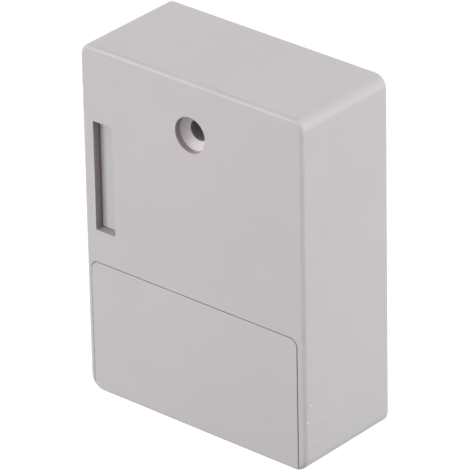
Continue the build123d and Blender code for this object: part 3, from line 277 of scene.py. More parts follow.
def turned_hole_group():
    """A hole from front to back: masks of its bore, cone and rim, and the rings a cutter leaves."""
    tree, inside, out = new_group("turned_hole", [
        ("Middle", "NodeSocketVector", (0, 0, 0)),
        ("Bore Radius", "NodeSocketFloat", 0.0026),
        ("Seat Radius", "NodeSocketFloat", 0.0045),
        ("Pitch", "NodeSocketFloat", 0.0004),
    ], [
        ("Bore", "NodeSocketFloat"),
        ("Cone", "NodeSocketFloat"),
        ("Rim", "NodeSocketFloat"),
        ("Rings", "NodeSocketFloat"),
    ])
    place = add_node(tree, "ShaderNodeTexCoord").outputs["Object"]
    apart = add_node(tree, "ShaderNodeVectorMath", {0: place, 1: inside.outputs["Middle"]},
                     operation="SUBTRACT").outputs[0]
    x, y, z = add_node(tree, "ShaderNodeSeparateXYZ", {0: apart}).outputs[:3]
    flat = add_node(tree, "ShaderNodeCombineXYZ", {0: x, 2: z}).outputs[0]
    radius = add_node(tree, "ShaderNodeVectorMath", {0: flat}, operation="LENGTH").outputs["Value"]
    bore = maths(tree, "LESS_THAN", radius, inside.outputs["Bore Radius"])
    around = maths(tree, "LESS_THAN", radius, inside.outputs["Seat Radius"])
    within = maths(tree, "LESS_THAN", radius,
                   maths(tree, "MULTIPLY", inside.outputs["Seat Radius"], CONE_SHARE))
    turn = maths(tree, "DIVIDE", maths(tree, "SUBTRACT", y, radius), inside.outputs["Pitch"])
    wave = maths(tree, "SINE", maths(tree, "MULTIPLY", turn, math.tau))
    rings = maths(tree, "MULTIPLY", maths(tree, "MULTIPLY", wave, 0.5), around)
    tree.links.new(bore, out.inputs["Bore"])
    tree.links.new(maths(tree, "SUBTRACT", within, bore), out.inputs["Cone"])
    tree.links.new(maths(tree, "SUBTRACT", around, within), out.inputs["Rim"])
    tree.links.new(rings, out.inputs["Rings"])
    return tree


def drawn_metal_group():
    """Metal that was drawn or ground one way: long fine lines, and slow clouds in the polish."""
    tree, inside, out = new_group("drawn_metal", [
        ("Colour", "NodeSocketColor", (0.6, 0.6, 0.6, 1)),
        ("Shade", "NodeSocketColor", (0.4, 0.4, 0.4, 1)),
        ("Line Scale", "NodeSocketVector", (400.0, 4000.0, 4000.0)),
        ("Roughness", "NodeSocketFloat", 0.3),
        ("Roughness Spread", "NodeSocketFloat", 0.15),
    ], [
        ("Colour", "NodeSocketColor"),
        ("Roughness", "NodeSocketFloat"),
        ("Height", "NodeSocketFloat"),
    ])
    place = add_node(tree, "ShaderNodeTexCoord").outputs["Object"]
    pulled = add_node(tree, "ShaderNodeVectorMath", {0: place, 1: inside.outputs["Line Scale"]},
                      operation="MULTIPLY").outputs[0]
    lines = add_node(tree, "ShaderNodeTexNoise", {
        "Vector": pulled, "Scale": 1.0, "Detail": 3.0, "Roughness": 0.6,
    }).outputs[0]
    clouds = add_node(tree, "ShaderNodeTexNoise", {
        "Vector": place, "Scale": 250.0, "Detail": 3.0,
    }).outputs[0]
    share = ranged(tree, maths(tree, "MULTIPLY", lines, clouds), 0.12, 0.4)
    colour = mixed(tree, share, inside.outputs["Shade"], inside.outputs["Colour"])
    swing = maths(tree, "MULTIPLY", maths(tree, "SUBTRACT", lines, 0.5),
                  inside.outputs["Roughness Spread"])
    roughness = maths(tree, "ADD", inside.outputs["Roughness"], swing, clamp=True)
    for label, value in (("Colour", colour), ("Roughness", roughness), ("Height", lines)):
        tree.links.new(value, out.inputs[label])
    return tree


SKIN = moulded_skin_group()
EDGES = rubbed_edges_group()
SPECKS = specks_group()
HOLE = turned_hole_group()
METAL = drawn_metal_group()


def placed_group(tree, group, inputs):
    """One use of a shared group in a material, with its own values."""
    return add_node(tree, "ShaderNodeGroup", inputs, node_tree=group)


def new_material(name):
    """A material with an empty Principled shader: its tree and that shader."""
    material = bpy.data.materials.new(name)
    material.use_nodes = True
    return material, material.node_tree, material.node_tree.nodes["Principled BSDF"]


def rgba(red, green, blue):
    """A colour as a picture shows it, from 0 to 255, in the renderer's own values."""
    def straight(value):
        value /= 255
        return value / 12.92 if value <= 0.04045 else ((value + 0.055) / 1.055) ** 2.4
    return (straight(red), straight(green), straight(blue), 1.0)


def inside_box(tree, low, high):
    """A mask of what lies inside a box."""
    place = add_node(tree, "ShaderNodeTexCoord").outputs["Object"]
    apart = add_node(tree, "ShaderNodeVectorMath", {0: place, 1: (low + high) / 2},
                     operation="SUBTRACT").outputs[0]
    apart = add_node(tree, "ShaderNodeVectorMath", {0: apart}, operation="ABSOLUTE").outputs[0]
    left = add_node(tree, "ShaderNodeVectorMath", {0: (high - low) / 2, 1: apart},
                    operation="SUBTRACT").outputs[0]
    x, y, z = add_node(tree, "ShaderNodeSeparateXYZ", {0: left}).outputs[:3]
    least = maths(tree, "MINIMUM", x, maths(tree, "MINIMUM", y, z))
    return maths(tree, "GREATER_THAN", least, 0.0)


def bumped(tree, shader, height, distance, strength):
    """A bump of the given height under the shader."""
    bump = add_node(tree, "ShaderNodeBump", {
        "Height": height, "Distance": distance, "Strength": strength,
    })
    tree.links.new(bump.outputs["Normal"], shader.inputs["Normal"])


# Finishes

CASE_COLOUR = rgba(204, 200, 201)
CASE_SHADE = rgba(201, 197, 198)
WORN_EDGE = rgba(222, 218, 216)
SPECK_WHITE = rgba(250, 250, 252)
# Painted shade on the slot's walls, painted light on the countersink's cone, painted shade on its
# rim and in its bore
SLOT_PAINTED_SHADE = rgba(182, 173, 174)
CONE_PAINTED_LIGHT = rgba(228, 223, 226)
RIM_PAINTED_SHADE = rgba(182, 171, 173)
BORE_PAINTED_SHADE = rgba(138, 137, 133)
BOARD_GREEN = rgba(24, 92, 52)
BOARD_SHADE = rgba(18, 76, 44)
TRACK_GREEN = rgba(52, 132, 70)


def plastic(name, colour, shade, roughness=0.5, grain=3500.0, depth=0.02, edges=None,
            specks=None, gloss=0.45, hole=None, slot=None):
    """Moulded plastic, with rubbed edges, specks, a turned hole that carries painted shade and
    painted light, and painted shade in a slot, if asked for.
    """
    material, tree, shader = new_material(name)
    skin = placed_group(tree, SKIN, {
        "Colour": colour, "Shade": shade, "Roughness": roughness, "Grain Scale": grain,
    })
    tint = skin.outputs["Colour"]
    polish = skin.outputs["Roughness"]
    if edges:
        low, high = edges
        mask = placed_group(tree, EDGES, {
            "Middle": (low + high) / 2, "Half Size": (high - low) / 2,
            "Width": WORN_EDGE_WIDTH,
        }).outputs["Mask"]
        tint = mixed(tree, maths(tree, "MULTIPLY", mask, PALE_EDGE_SHARE), tint, WORN_EDGE)
        polish = maths(tree, "SUBTRACT", polish,
                       maths(tree, "MULTIPLY", mask, POLISHED_EDGE_SHARE))
    if specks:
        mask = placed_group(tree, SPECKS, {"Radius": specks}).outputs["Mask"]
        tint = mixed(tree, maths(tree, "MULTIPLY", mask, SPECK_SHARE), tint, SPECK_WHITE)
    # Painted shade over everything inside the slot's box
    if slot:
        painted_shade = maths(tree, "MULTIPLY", inside_box(tree, *slot), SLOT_PAINTED_SHADE_SHARE)
        tint = mixed(tree, painted_shade, tint, SLOT_PAINTED_SHADE)
    height = skin.outputs["Height"]
    if hole:
        turned = placed_group(tree, HOLE, {
            "Middle": hole, "Bore Radius": BORE_RADIUS, "Seat Radius": SEAT_RADIUS,
            "Pitch": RING_PITCH,
        })
        # Painted shade in the bore, streaked by the cutter's rings, and on the rim; painted light
        # on the cone
        streaks = maths(tree, "MULTIPLY", turned.outputs["Rings"], BORE_STREAK_SHARE)
        painted_shade = maths(tree, "MULTIPLY", turned.outputs["Bore"],
                      maths(tree, "ADD", streaks, BORE_PAINTED_SHADE_SHARE))
        tint = mixed(tree, turned.outputs["Cone"], tint, CONE_PAINTED_LIGHT)
        tint = mixed(tree, turned.outputs["Rim"], tint, RIM_PAINTED_SHADE)
        tint = mixed(tree, painted_shade, tint, BORE_PAINTED_SHADE)
        height = maths(tree, "ADD", height,
                       maths(tree, "MULTIPLY", turned.outputs["Rings"], RING_HEIGHT_SHARE))
    tree.links.new(tint, shader.inputs["Base Color"])
    tree.links.new(polish, shader.inputs["Roughness"])
    shader.inputs["Specular IOR Level"].default_value = gloss
    bumped(tree, shader, height, depth * MM, 0.6)
    return material


def metal(name, colour, shade, roughness=0.3, lines=(400.0, 4000.0, 4000.0), depth=0.004):
    """Plated, ground or drawn metal."""
    material, tree, shader = new_material(name)
    drawn = placed_group(tree, METAL, {
        "Colour": colour, "Shade": shade, "Roughness": roughness, "Line Scale": lines,
    })
    tree.links.new(drawn.outputs["Colour"], shader.inputs["Base Color"])
    tree.links.new(drawn.outputs["Roughness"], shader.inputs["Roughness"])
    shader.inputs["Metallic"].default_value = 1.0
    bumped(tree, shader, drawn.outputs["Height"], depth * MM, 0.5)
    return material


def laminate(name):
    """Circuit board laminate: green solder mask over a web of narrow copper tracks."""
    material, tree, shader = new_material(name)
    skin = placed_group(tree, SKIN, {
        "Colour": BOARD_GREEN, "Shade": BOARD_SHADE, "Roughness": 0.32, "Grain Scale": 1500.0,
    })
    place = add_node(tree, "ShaderNodeTexCoord").outputs["Object"]
    flat = add_node(tree, "ShaderNodeMapping", {"Vector": place, "Rotation": (math.pi / 2, 0, 0)})
    tracks = add_node(tree, "ShaderNodeTexBrick", {
        "Vector": flat.outputs[0], "Scale": 1.0, "Mortar Size": 0.12 * MM,
        "Brick Width": 5.1 * MM, "Row Height": 1.27 * MM, "Mortar Smooth": 0.1,
    }, offset=0.37, squash=1.6, squash_frequency=3).outputs["Fac"]
    tint = mixed(tree, maths(tree, "MULTIPLY", tracks, TRACK_SHARE), skin.outputs["Colour"],
                 TRACK_GREEN)
    tree.links.new(tint, shader.inputs["Base Color"])
    tree.links.new(skin.outputs["Roughness"], shader.inputs["Roughness"])
    shader.inputs["Coat Weight"].default_value = 0.4
    bumped(tree, shader, tracks, 0.03 * MM, 0.7)
    return material


CASE_EDGES = (case_low, case_high)
SLOT_WALLS = (case_low + Vector((SLOT_LEFT, SLOT_FRONT, SLOT_BOTTOM)),
              case_low + Vector((SLOT_RIGHT, SLOT_BACK, SLOT_TOP)))
HOLE_MIDDLE = Vector((0, case_low.y, HOLE_HEIGHT))
FINISHES = {
    "case_plastic": plastic("case_plastic", CASE_COLOUR, CASE_SHADE, 0.44, edges=CASE_EDGES,
                            specks=SPECK_RADIUS, hole=HOLE_MIDDLE, slot=SLOT_WALLS),
    "cover_plastic": plastic("cover_plastic", rgba(205, 201, 202), rgba(202, 198, 199), 0.5,
                             edges=CASE_EDGES),
    "ejector_plastic": plastic("ejector_plastic", rgba(197, 195, 198), rgba(194, 192, 195), 0.42,
                               depth=0.01),
    "frame_plastic": plastic("frame_plastic", rgba(62, 62, 66), rgba(54, 54, 58), 0.5),
    "gear_plastic": plastic("gear_plastic", rgba(232, 229, 220), rgba(225, 221, 210), 0.34,
                            depth=0.008),
    "black_plastic": plastic("black_plastic", rgba(40, 40, 41), rgba(33, 33, 35), 0.48),
    "plunger_plastic": plastic("plunger_plastic", rgba(178, 52, 38), rgba(165, 45, 34), 0.4),
    "connector_plastic": plastic("connector_plastic", rgba(228, 222, 204), rgba(220, 213, 193),
                                 0.42),
    "chip_ceramic": plastic("chip_ceramic", rgba(170, 140, 104), rgba(158, 128, 94), 0.45),
    "cell_wrap": plastic("cell_wrap", rgba(58, 66, 74), rgba(50, 58, 66), 0.3, depth=0.006,
                         gloss=0.5),
    "wire_red": plastic("wire_red", rgba(176, 34, 34), rgba(160, 28, 30), 0.45),
    "wire_black": plastic("wire_black", rgba(34, 34, 36), rgba(27, 27, 29), 0.45),
    "steel": metal("steel", rgba(205, 205, 206), rgba(176, 176, 178), 0.3),
    "screw_steel": metal("screw_steel", rgba(200, 202, 206), rgba(160, 162, 168), 0.34,
                         (2500.0, 2500.0, 2500.0)),
    "spring_steel": metal("spring_steel", rgba(218, 216, 210), rgba(190, 188, 180), 0.22),
    "motor_steel": metal("motor_steel", rgba(208, 208, 210), rgba(178, 178, 182), 0.3,
                         (3500.0, 300.0, 3500.0)),
    "brass": metal("brass", rgba(214, 180, 108), rgba(186, 150, 84), 0.28,
                   (3500.0, 600.0, 3500.0)),
    "aluminium": metal("aluminium", rgba(214, 215, 218), rgba(190, 191, 195), 0.26),
    "copper": metal("copper", rgba(196, 132, 84), rgba(164, 104, 62), 0.32,
                    (1500.0, 1500.0, 1500.0)),
    "board_laminate": laminate("board_laminate"),
}


def dress_cad_nodes():
    """Gives every node of the frame the finish that its slot names."""
    for entry in frame["record"]["subparts"]:
        node = nodes[entry["node"]]
        finish = FINISHES[entry["material_slot"]]
        if node.material_slots:
            for held in node.material_slots:
                held.material = finish
        else:
            node.data.materials.append(finish)


dress_cad_nodes()


# Small tools for meshes

MERGE_DISTANCE = 0.001 * MM
SHARP_ANGLE = math.radians(38)


def plain_mesh(piece):
    """The piece's mesh with its modifiers carried out."""
    bpy.context.view_layer.update()
    return bpy.data.meshes.new_from_object(
        piece.evaluated_get(bpy.context.evaluated_depsgraph_get()))


def new_piece(name, mesh):
    """An object in the scene that shows a mesh."""
    piece = bpy.data.objects.new(name, mesh)
    bpy.context.scene.collection.objects.link(piece)
    return piece


def shaded(mesh):
    """The mesh, smooth but for its sharp edges."""
    mesh.shade_smooth()
    mesh.set_sharp_from_angle(angle=SHARP_ANGLE)
    return mesh


def formed_piece(name, form):
    """A piece from a bmesh form, with its doubles merged and its faces turned outward."""
    bmesh.ops.remove_doubles(form, verts=form.verts, dist=MERGE_DISTANCE)
    bmesh.ops.recalc_face_normals(form, faces=form.faces)
    mesh = bpy.data.meshes.new(name)
    form.to_mesh(mesh)
    form.free()
    return new_piece(name, shaded(mesh))


def settle(piece, finish, replaced=()):
    """Gives a finished piece its material, and fixes it to the case."""
    piece.data.materials.clear()
    piece.data.materials.append(finish)
    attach(piece, "case")
    if replaced:
        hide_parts(*replaced)


def add_turned(form, profile, start, way, steps=48):
    """Rings round a line in a form: the profile holds distances along the line and radii."""
    way = way.normalized()
    side = way.orthogonal().normalized()
    above = way.cross(side)
    rings = []
    for distance, radius in profile:
        middle = start + way * distance
        if radius == 0:
            rings.append([form.verts.new(middle)])
            continue
        rings.append([form.verts.new(
            middle + side * radius * math.cos(math.tau * step / steps)
            + above * radius * math.sin(math.tau * step / steps)) for step in range(steps)])
    for first, second in zip(rings, rings[1:]):
        for step in range(steps):
            after = (step + 1) % steps
            corners = [first[step % len(first)], first[after % len(first)],
                       second[after % len(second)], second[step % len(second)]]
            form.faces.new(list(dict.fromkeys(corners)))


def add_walls(form, first, second):
    """Faces between two closed loops that have as many corners."""
    for corner in range(len(first)):
        after = (corner + 1) % len(first)
        form.faces.new((first[corner], first[after], second[after], second[corner]))


def add_wire(form, path, radius, sides=10):
    """A round wire in a form along a path: each step holds a point and the way outward there."""
    rings = []
    for step, (point, outward) in enumerate(path):
        before, after = path[max(step - 1, 0)][0], path[min(step + 1, len(path) - 1)][0]
        along = (after - before).normalized()
        across = along.cross(outward).normalized()
        out = across.cross(along)
        rings.append([form.verts.new(
            point + out * radius * math.cos(math.tau * side / sides)
            + across * radius * math.sin(math.tau * side / sides)) for side in range(sides)])
    for first, second in zip(rings, rings[1:]):
        add_walls(form, first, second)
    form.faces.new(rings[0][::-1])
    form.faces.new(rings[-1])


def add_bar(form, low, high):
    """A bar between two corners in a form."""
    size = high - low
    made = bmesh.ops.create_cube(form, size=1.0)["verts"]
    bmesh.ops.scale(form, vec=size, verts=made)
    bmesh.ops.translate(form, vec=(low + high) / 2, verts=made)


def island_boxes(node):
    """The lowest and highest corner of each separate solid in a CAD node."""
    form = bmesh.new()
    form.from_mesh(nodes[node].data)
    bmesh.ops.remove_doubles(form, verts=form.verts, dist=MERGE_DISTANCE)
    boxes = []
    waiting = set(form.verts)
    while waiting:
        island, edge = [], [waiting.pop()]
        while edge:
            vertex = edge.pop()
            island.append(vertex.co)
            for link in vertex.link_edges:
                other = link.other_vert(vertex)
                if other in waiting:
                    waiting.remove(other)
                    edge.append(other)
        boxes.append((Vector(min(c[k] for c in island) for k in range(3)),
                      Vector(max(c[k] for c in island) for k in range(3))))
    form.free()
    return sorted(boxes, key=lambda pair: tuple(pair[0]))


# Screws: a turned blank with a cross recess, and a thread wound round it, at every place

SCREW_HEAD_RADIUS = 2.0 * MM
SCREW_HEAD_HEIGHT = 1.1 * MM
SCREW_CORE_RADIUS = 0.86 * MM
SCREW_POINT = 0.9 * MM
SCREW_BLUNT_POINT = 0.3 * MM
SCREW_STEPS = 28
SUNK_HEAD_RIM = 0.05 * MM
THREAD_DEPTH = 0.22 * MM
THREAD_PITCH = 0.8 * MM
THREAD_STEPS = 18
THREAD_END_SHARE = 0.86
THREAD_END_ROOM = 0.5 * MM
SUNK_THREAD_START = 1.4 * MM
PAN_THREAD_START = 0.5 * MM
RECESS_CLEARANCE = 0.3 * MM

# Shares of a pan head's height and radius, from its crown to its rim
PAN_HEAD_SHARES = [(1, 0), (0.98, 0.38), (0.86, 0.68), (0.6, 0.9), (0.3, 0.99), (0, 0.98)]

# Shares of the core's radius under a pan head and a sunk one, and at the blunt point
PAN_NECK_SHARE = 1.15
SUNK_NECK_SHARE = 1.2
POINT_SHARE = 0.5

# Share of a sunk head's radius that its flat face has
SUNK_FACE_SHARE = 0.97

# Shares of the head's radius and height that the cross recess takes, and its taper
RECESS_ARM_SHARE = 0.58
RECESS_HALF_SHARE = 0.12
RECESS_DEPTH_SHARE = 0.62
RECESS_FLOOR_SHARE = 0.55


def cross_recess(arm, half, low, high):
    """What a driver's cross takes out of a head: two crossed wedges, narrower at their floor."""
    form = bmesh.new()
    middle = (low + high) / 2
    for across, along in ((arm, half), (half, arm)):
        made = bmesh.ops.create_cube(form, size=2.0)["verts"]
        bmesh.ops.scale(form, vec=(across, (high - low) / 2, along), verts=made)
        bmesh.ops.translate(form, vec=(0, middle, 0), verts=made)
        for vertex in made:
            if vertex.co.y < middle:
                vertex.co.x *= RECESS_FLOOR_SHARE
                vertex.co.z *= RECESS_FLOOR_SHARE
    mesh = bpy.data.meshes.new("recess")
    form.to_mesh(mesh)
    form.free()
    return new_piece("recess", mesh)


def screw_blank(name, length, sunk):
    """A screw without its thread, with its point toward -Y, and a pan head or a sunk one."""
    core, head, tall = SCREW_CORE_RADIUS, SCREW_HEAD_RADIUS, SCREW_HEAD_HEIGHT
    if sunk:
        profile = [(0, 0), (0, head * SUNK_FACE_SHARE), (SUNK_HEAD_RIM, head),
                   (tall, core * SUNK_NECK_SHARE)]
        face = 0.0
    else:
        profile = [(-tall * rise, head * out) for rise, out in PAN_HEAD_SHARES]
        profile.append((0, core * PAN_NECK_SHARE))
        face = tall
    profile += [(length - SCREW_POINT, core), (length - SCREW_BLUNT_POINT, core * POINT_SHARE),
                (length, 0)]
    form = bmesh.new()
    add_turned(form, profile, Vector((0, 0, 0)), Vector((0, -1, 0)), SCREW_STEPS)
    blank = formed_piece(name, form)
    cutter = cross_recess(head * RECESS_ARM_SHARE, head * RECESS_HALF_SHARE,
                          face - tall * RECESS_DEPTH_SHARE, face + RECESS_CLEARANCE)
    cut = blank.modifiers.new("recess", "BOOLEAN")
    cut.object = cutter
    cut.solver = "EXACT"
    cut.use_self = True
    mesh = plain_mesh(blank)
    blank.modifiers.clear()
    blank.data = shaded(mesh)
    bpy.data.objects.remove(cutter)
    return blank


def screw_set_tree():
    """Geometry nodes that thread a blank and stand one screw on every point."""
    tree = bpy.data.node_groups.new("screw_set", "GeometryNodeTree")
    sockets = [
        ("Geometry", "NodeSocketGeometry"), ("Blank", "NodeSocketObject"),
        ("Thread Start", "NodeSocketFloat"), ("Thread Length", "NodeSocketFloat"),
        ("Thread Turns", "NodeSocketFloat"), ("Core Radius", "NodeSocketFloat"),
        ("Thread Depth", "NodeSocketFloat"), ("Material", "NodeSocketMaterial"),
    ]
    keys = {label: tree.interface.new_socket(label, in_out="INPUT", socket_type=kind).identifier
            for label, kind in sockets}
    tree.interface.new_socket("Geometry", in_out="OUTPUT", socket_type="NodeSocketGeometry")
    inside, out = tree.nodes.new("NodeGroupInput"), tree.nodes.new("NodeGroupOutput")
    blank = add_node(tree, "GeometryNodeObjectInfo", {"Object": inside.outputs["Blank"]})
    winding = add_node(tree, "GeometryNodeCurveSpiral", {
        "Resolution": THREAD_STEPS, "Rotations": inside.outputs["Thread Turns"],
        "Start Radius": inside.outputs["Core Radius"],
        "End Radius": maths(tree, "MULTIPLY", inside.outputs["Core Radius"], THREAD_END_SHARE),
        "Height": inside.outputs["Thread Length"],
    })
    ridge = add_node(tree, "GeometryNodeCurvePrimitiveCircle", {
        "Resolution": 3, "Radius": inside.outputs["Thread Depth"],
    }, mode="RADIUS")
    thread = add_node(tree, "GeometryNodeCurveToMesh", {
        "Curve": winding.outputs[0], "Profile Curve": ridge.outputs[0], "Fill Caps": True,
    })
    below = add_node(tree, "ShaderNodeCombineXYZ", {
        "Y": maths(tree, "MULTIPLY", inside.outputs["Thread Start"], -1.0),
    })
    laid = add_node(tree, "GeometryNodeTransform", {
        "Geometry": thread.outputs[0], "Translation": below.outputs[0],
        "Rotation": (math.pi / 2, 0, 0),
    })
    screw = tree.nodes.new("GeometryNodeJoinGeometry")
    tree.links.new(blank.outputs["Geometry"], screw.inputs[0])
    tree.links.new(laid.outputs[0], screw.inputs[0])
    stood = add_node(tree, "GeometryNodeInstanceOnPoints", {
        "Points": inside.outputs["Geometry"], "Instance": screw.outputs[0],
    })
    real = add_node(tree, "GeometryNodeRealizeInstances", {"Geometry": stood.outputs[0]})
    painted = add_node(tree, "GeometryNodeSetMaterial", {
        "Geometry": real.outputs[0], "Material": inside.outputs["Material"],
    })
    tree.links.new(painted.outputs[0], out.inputs[0])
    return tree, keys


def stand_screws(name, node, sunk, tree, keys):
    """The screws of one CAD node, each where its solid stands."""
    boxes = island_boxes(node)
    head = 0 if sunk else SCREW_HEAD_HEIGHT
    length = boxes[0][1].y - boxes[0][0].y - head
    blank = screw_blank(name + "_blank", length, sunk)
    places = [((low.x + high.x) / 2, high.y - head, (low.z + high.z) / 2) for low, high in boxes]
    mesh = bpy.data.meshes.new(name)
    mesh.from_pydata(places, [], [])
    piece = new_piece(name, mesh)
    wound = piece.modifiers.new("screw_set", "NODES")
    wound.node_group = tree
    start = SUNK_THREAD_START if sunk else PAN_THREAD_START
    threaded = length - start - THREAD_END_ROOM
    values = {
        "Blank": blank, "Thread Start": start, "Thread Length": threaded,
        "Thread Turns": threaded / THREAD_PITCH, "Core Radius": SCREW_CORE_RADIUS,
        "Thread Depth": THREAD_DEPTH, "Material": FINISHES["screw_steel"],
    }
    for label, value in values.items():
        wound[keys[label]] = value
    mesh = plain_mesh(piece)
    piece.modifiers.clear()
    piece.data = mesh
    bpy.data.objects.remove(blank)
    settle(piece, FINISHES["screw_steel"], [node])


screw_tree, screw_keys = screw_set_tree()
for screw_piece, screw_node, screw_sunk in (
        ("plate_screws_threaded", "back_plate_screws", True),
        ("board_screws_threaded", "board_screws", False),
        ("drive_screws_threaded", "mechanism_screws", False),
        ("retainer_screws_threaded", "retainer_screws", False)):
    stand_screws(screw_piece, screw_node, screw_sunk, screw_tree, screw_keys)


# Cells: a sleeve with curled ends over a steel can, an insulating ring and a plain nub

CELL_STEPS = 64
CELL_NUB_RADIUS = 1.9 * MM
CELL_NUB_HEIGHT = 0.8 * MM
SLEEVE_THICKNESS = 0.12 * MM
BAND_LENGTH = 5.5 * MM
BAND_END = 0.36 * MM
BAND_LIFT = 0.02 * MM

# The sleeve's outside where it curls over an end, from the end's opening to the cell's side,
# in millimetres: how far from the end, and how far in from the side
SLEEVE_CURL_INSET = 1.1 * MM
SLEEVE_CURL = [(0.25, 1.1), (0.08, 0.98), (0.0, 0.6), (0.06, 0.2), (0.35, 0.0)]
SLEEVE_LIP = 0.3 * MM

# Flat end: a dished disc, a flat rim under the sleeve, and its thickness
END_DEPTH = 0.2 * MM
END_DISH_DEPTH = 0.12 * MM
END_BACK_DEPTH = 0.3 * MM
END_DISH_SHARE = 0.42
END_FLAT_SHARE = 0.5
END_UNDER_SLEEVE = 0.3 * MM

# Nub end: a steel disc that rises to the nub's foot, and a plain ring between it and the sleeve
DISC_SHARE = 0.62
DISC_BACK = 0.4 * MM
DISC_FRONT = 0.3 * MM
NUB_FOOT = 0.26 * MM
NUB_FOOT_SPREAD = 0.25 * MM
NUB_FOOT_TOP = 0.05 * MM
RING_BACK = 0.34 * MM
RING_INNER_FRONT = 0.22 * MM
RING_OUTER_FRONT = 0.2 * MM
RING_INNER_SHARE = 0.56
RING_EDGE_SHARE = 0.57
RING_UNDER_SLEEVE = 0.25 * MM

# The nub's rounded tip, in millimetres: how far below its top, and how far in from its side
NUB_ROUND = [(0.18, 0.0), (0.04, 0.14), (0.0, 0.4)]

# Printed signs on the sleeve: minus and plus, as shares of the body's length from the flat end
MARK_ARM = 1.1 * MM
MARK_HALF = 0.24 * MM
MARK_LIFT = 0.03 * MM
MARK_STEPS = 6
MINUS_SHARE = 0.13
PLUS_SHARE = 0.8

CELL_FINISHES = {
    "sleeve": FINISHES["cell_wrap"],
    "band": plastic("cell_band", rgba(186, 190, 196), rgba(176, 180, 187), 0.28, depth=0.005),
    "ends": FINISHES["steel"],
    "ring": plastic("cell_ring", rgba(236, 236, 232), rgba(226, 226, 222), 0.5, depth=0.006),
    "marks": plastic("cell_marks", rgba(238, 240, 242), rgba(230, 232, 235), 0.35, depth=0.004),
}


def sleeve_profile(outer, body):
    """The sleeve of a cell, curled over both ends: distances along the cell and radii."""
    curl = [(along * MM, outer - inward * MM) for along, inward in SLEEVE_CURL]
    inner = outer - SLEEVE_THICKNESS - SLEEVE_CURL_INSET
    far_curl = [(body - along, radius) for along, radius in reversed(curl)]
    return curl + far_curl + [(body - SLEEVE_LIP, inner), (SLEEVE_LIP, inner), curl[0]]


def band_profile(outer, body):
    """The pale band round the cell beside its nub."""
    first, last, top = body - BAND_LENGTH, body - BAND_END, outer + BAND_LIFT
    return [(first, outer), (first, top), (last, top), (last, outer), (first, outer)]


def flat_end_profile(outer):
    """The steel end without a nub."""
    rim = outer - SLEEVE_THICKNESS - SLEEVE_CURL_INSET + END_UNDER_SLEEVE
    return [(END_DEPTH, 0), (END_DISH_DEPTH, outer * END_DISH_SHARE),
            (END_DEPTH, outer * END_FLAT_SHARE), (END_DEPTH, rim), (END_BACK_DEPTH, rim),
            (END_BACK_DEPTH, 0)]


def nub_end_profile(outer, body):
    """The steel end with the nub."""
    disc, tip = outer * DISC_SHARE, body + CELL_NUB_HEIGHT
    profile = [(body - DISC_BACK, 0), (body - DISC_BACK, disc), (body - DISC_FRONT, disc),
               (body - NUB_FOOT, CELL_NUB_RADIUS + NUB_FOOT_SPREAD),
               (body - NUB_FOOT_TOP, CELL_NUB_RADIUS)]
    profile += [(tip - down * MM, CELL_NUB_RADIUS - inward * MM) for down, inward in NUB_ROUND]
    return profile + [(tip, 0)]


def ring_profile(outer, body):
    """The plain insulating ring between the nub's disc and the sleeve."""
    back = (body - RING_BACK, outer * RING_INNER_SHARE)
    rim = outer - SLEEVE_THICKNESS - SLEEVE_CURL_INSET + RING_UNDER_SLEEVE
    return [back, (body - RING_INNER_FRONT, outer * RING_EDGE_SHARE),
            (body - RING_OUTER_FRONT, rim), (body - RING_BACK, rim), back]


def add_curved_mark(form, middle, radius, across, tall):
    """A flat printed bar that lies on the front of a cell's curved sleeve."""
    rows = []
    for row in range(MARK_STEPS + 1):
        turn = tall * (2 * row / MARK_STEPS - 1) / radius
        rows.append([form.verts.new(middle + Vector((
            side, -(radius + out) * math.cos(turn), (radius + out) * math.sin(turn))))
            for side, out in ((-across, -MARK_LIFT), (-across, MARK_LIFT), (across, MARK_LIFT),
                              (across, -MARK_LIFT))])
    for first, second in zip(rows, rows[1:]):
        add_walls(form, first, second)
    form.faces.new(rows[0][::-1])
    form.faces.new(rows[-1])


def finish_cell(name, node, nub_way):
    """A finished cell in the place of a CAD one; its nub points the given way along X."""
    low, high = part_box(node)
    middle = (low + high) / 2
    outer = (high.z - low.z) / 2
    way = Vector((nub_way, 0, 0))
    start = Vector((low.x if nub_way > 0 else high.x, middle.y, middle.z))
    body = high.x - low.x - CELL_NUB_HEIGHT
    forms = {part: bmesh.new() for part in CELL_FINISHES}
    for part, profile in (
            ("sleeve", sleeve_profile(outer, body)), ("band", band_profile(outer, body)),
            ("ends", flat_end_profile(outer)), ("ends", nub_end_profile(outer, body)),
            ("ring", ring_profile(outer, body))):
        add_turned(forms[part], profile, start, way, CELL_STEPS)
    for share, bars in ((MINUS_SHARE, [(MARK_ARM, MARK_HALF)]),
                        (PLUS_SHARE, [(MARK_ARM, MARK_HALF), (MARK_HALF, MARK_ARM)])):
        for across, tall in bars:
            add_curved_mark(forms["marks"], start + way * body * share, outer, across, tall)
    for part, form in forms.items():
        replaced = [node] if part == "sleeve" else ()
        settle(formed_piece(name + "_" + part, form), CELL_FINISHES[part], replaced)


finish_cell("cell_upper", "battery_upper", 1)
finish_cell("cell_lower", "battery_lower", -1)


# Return springs of the ejector, closed at both ends

SPRING_WIRE_RADIUS = 0.125 * MM
SPRING_TURNS = 8
SPRING_END_TURNS = 0.9
SPRING_STEPS = 40

# Pitch of the closed end turns, in radii of the wire
SPRING_CLOSED_PITCH = 2.1


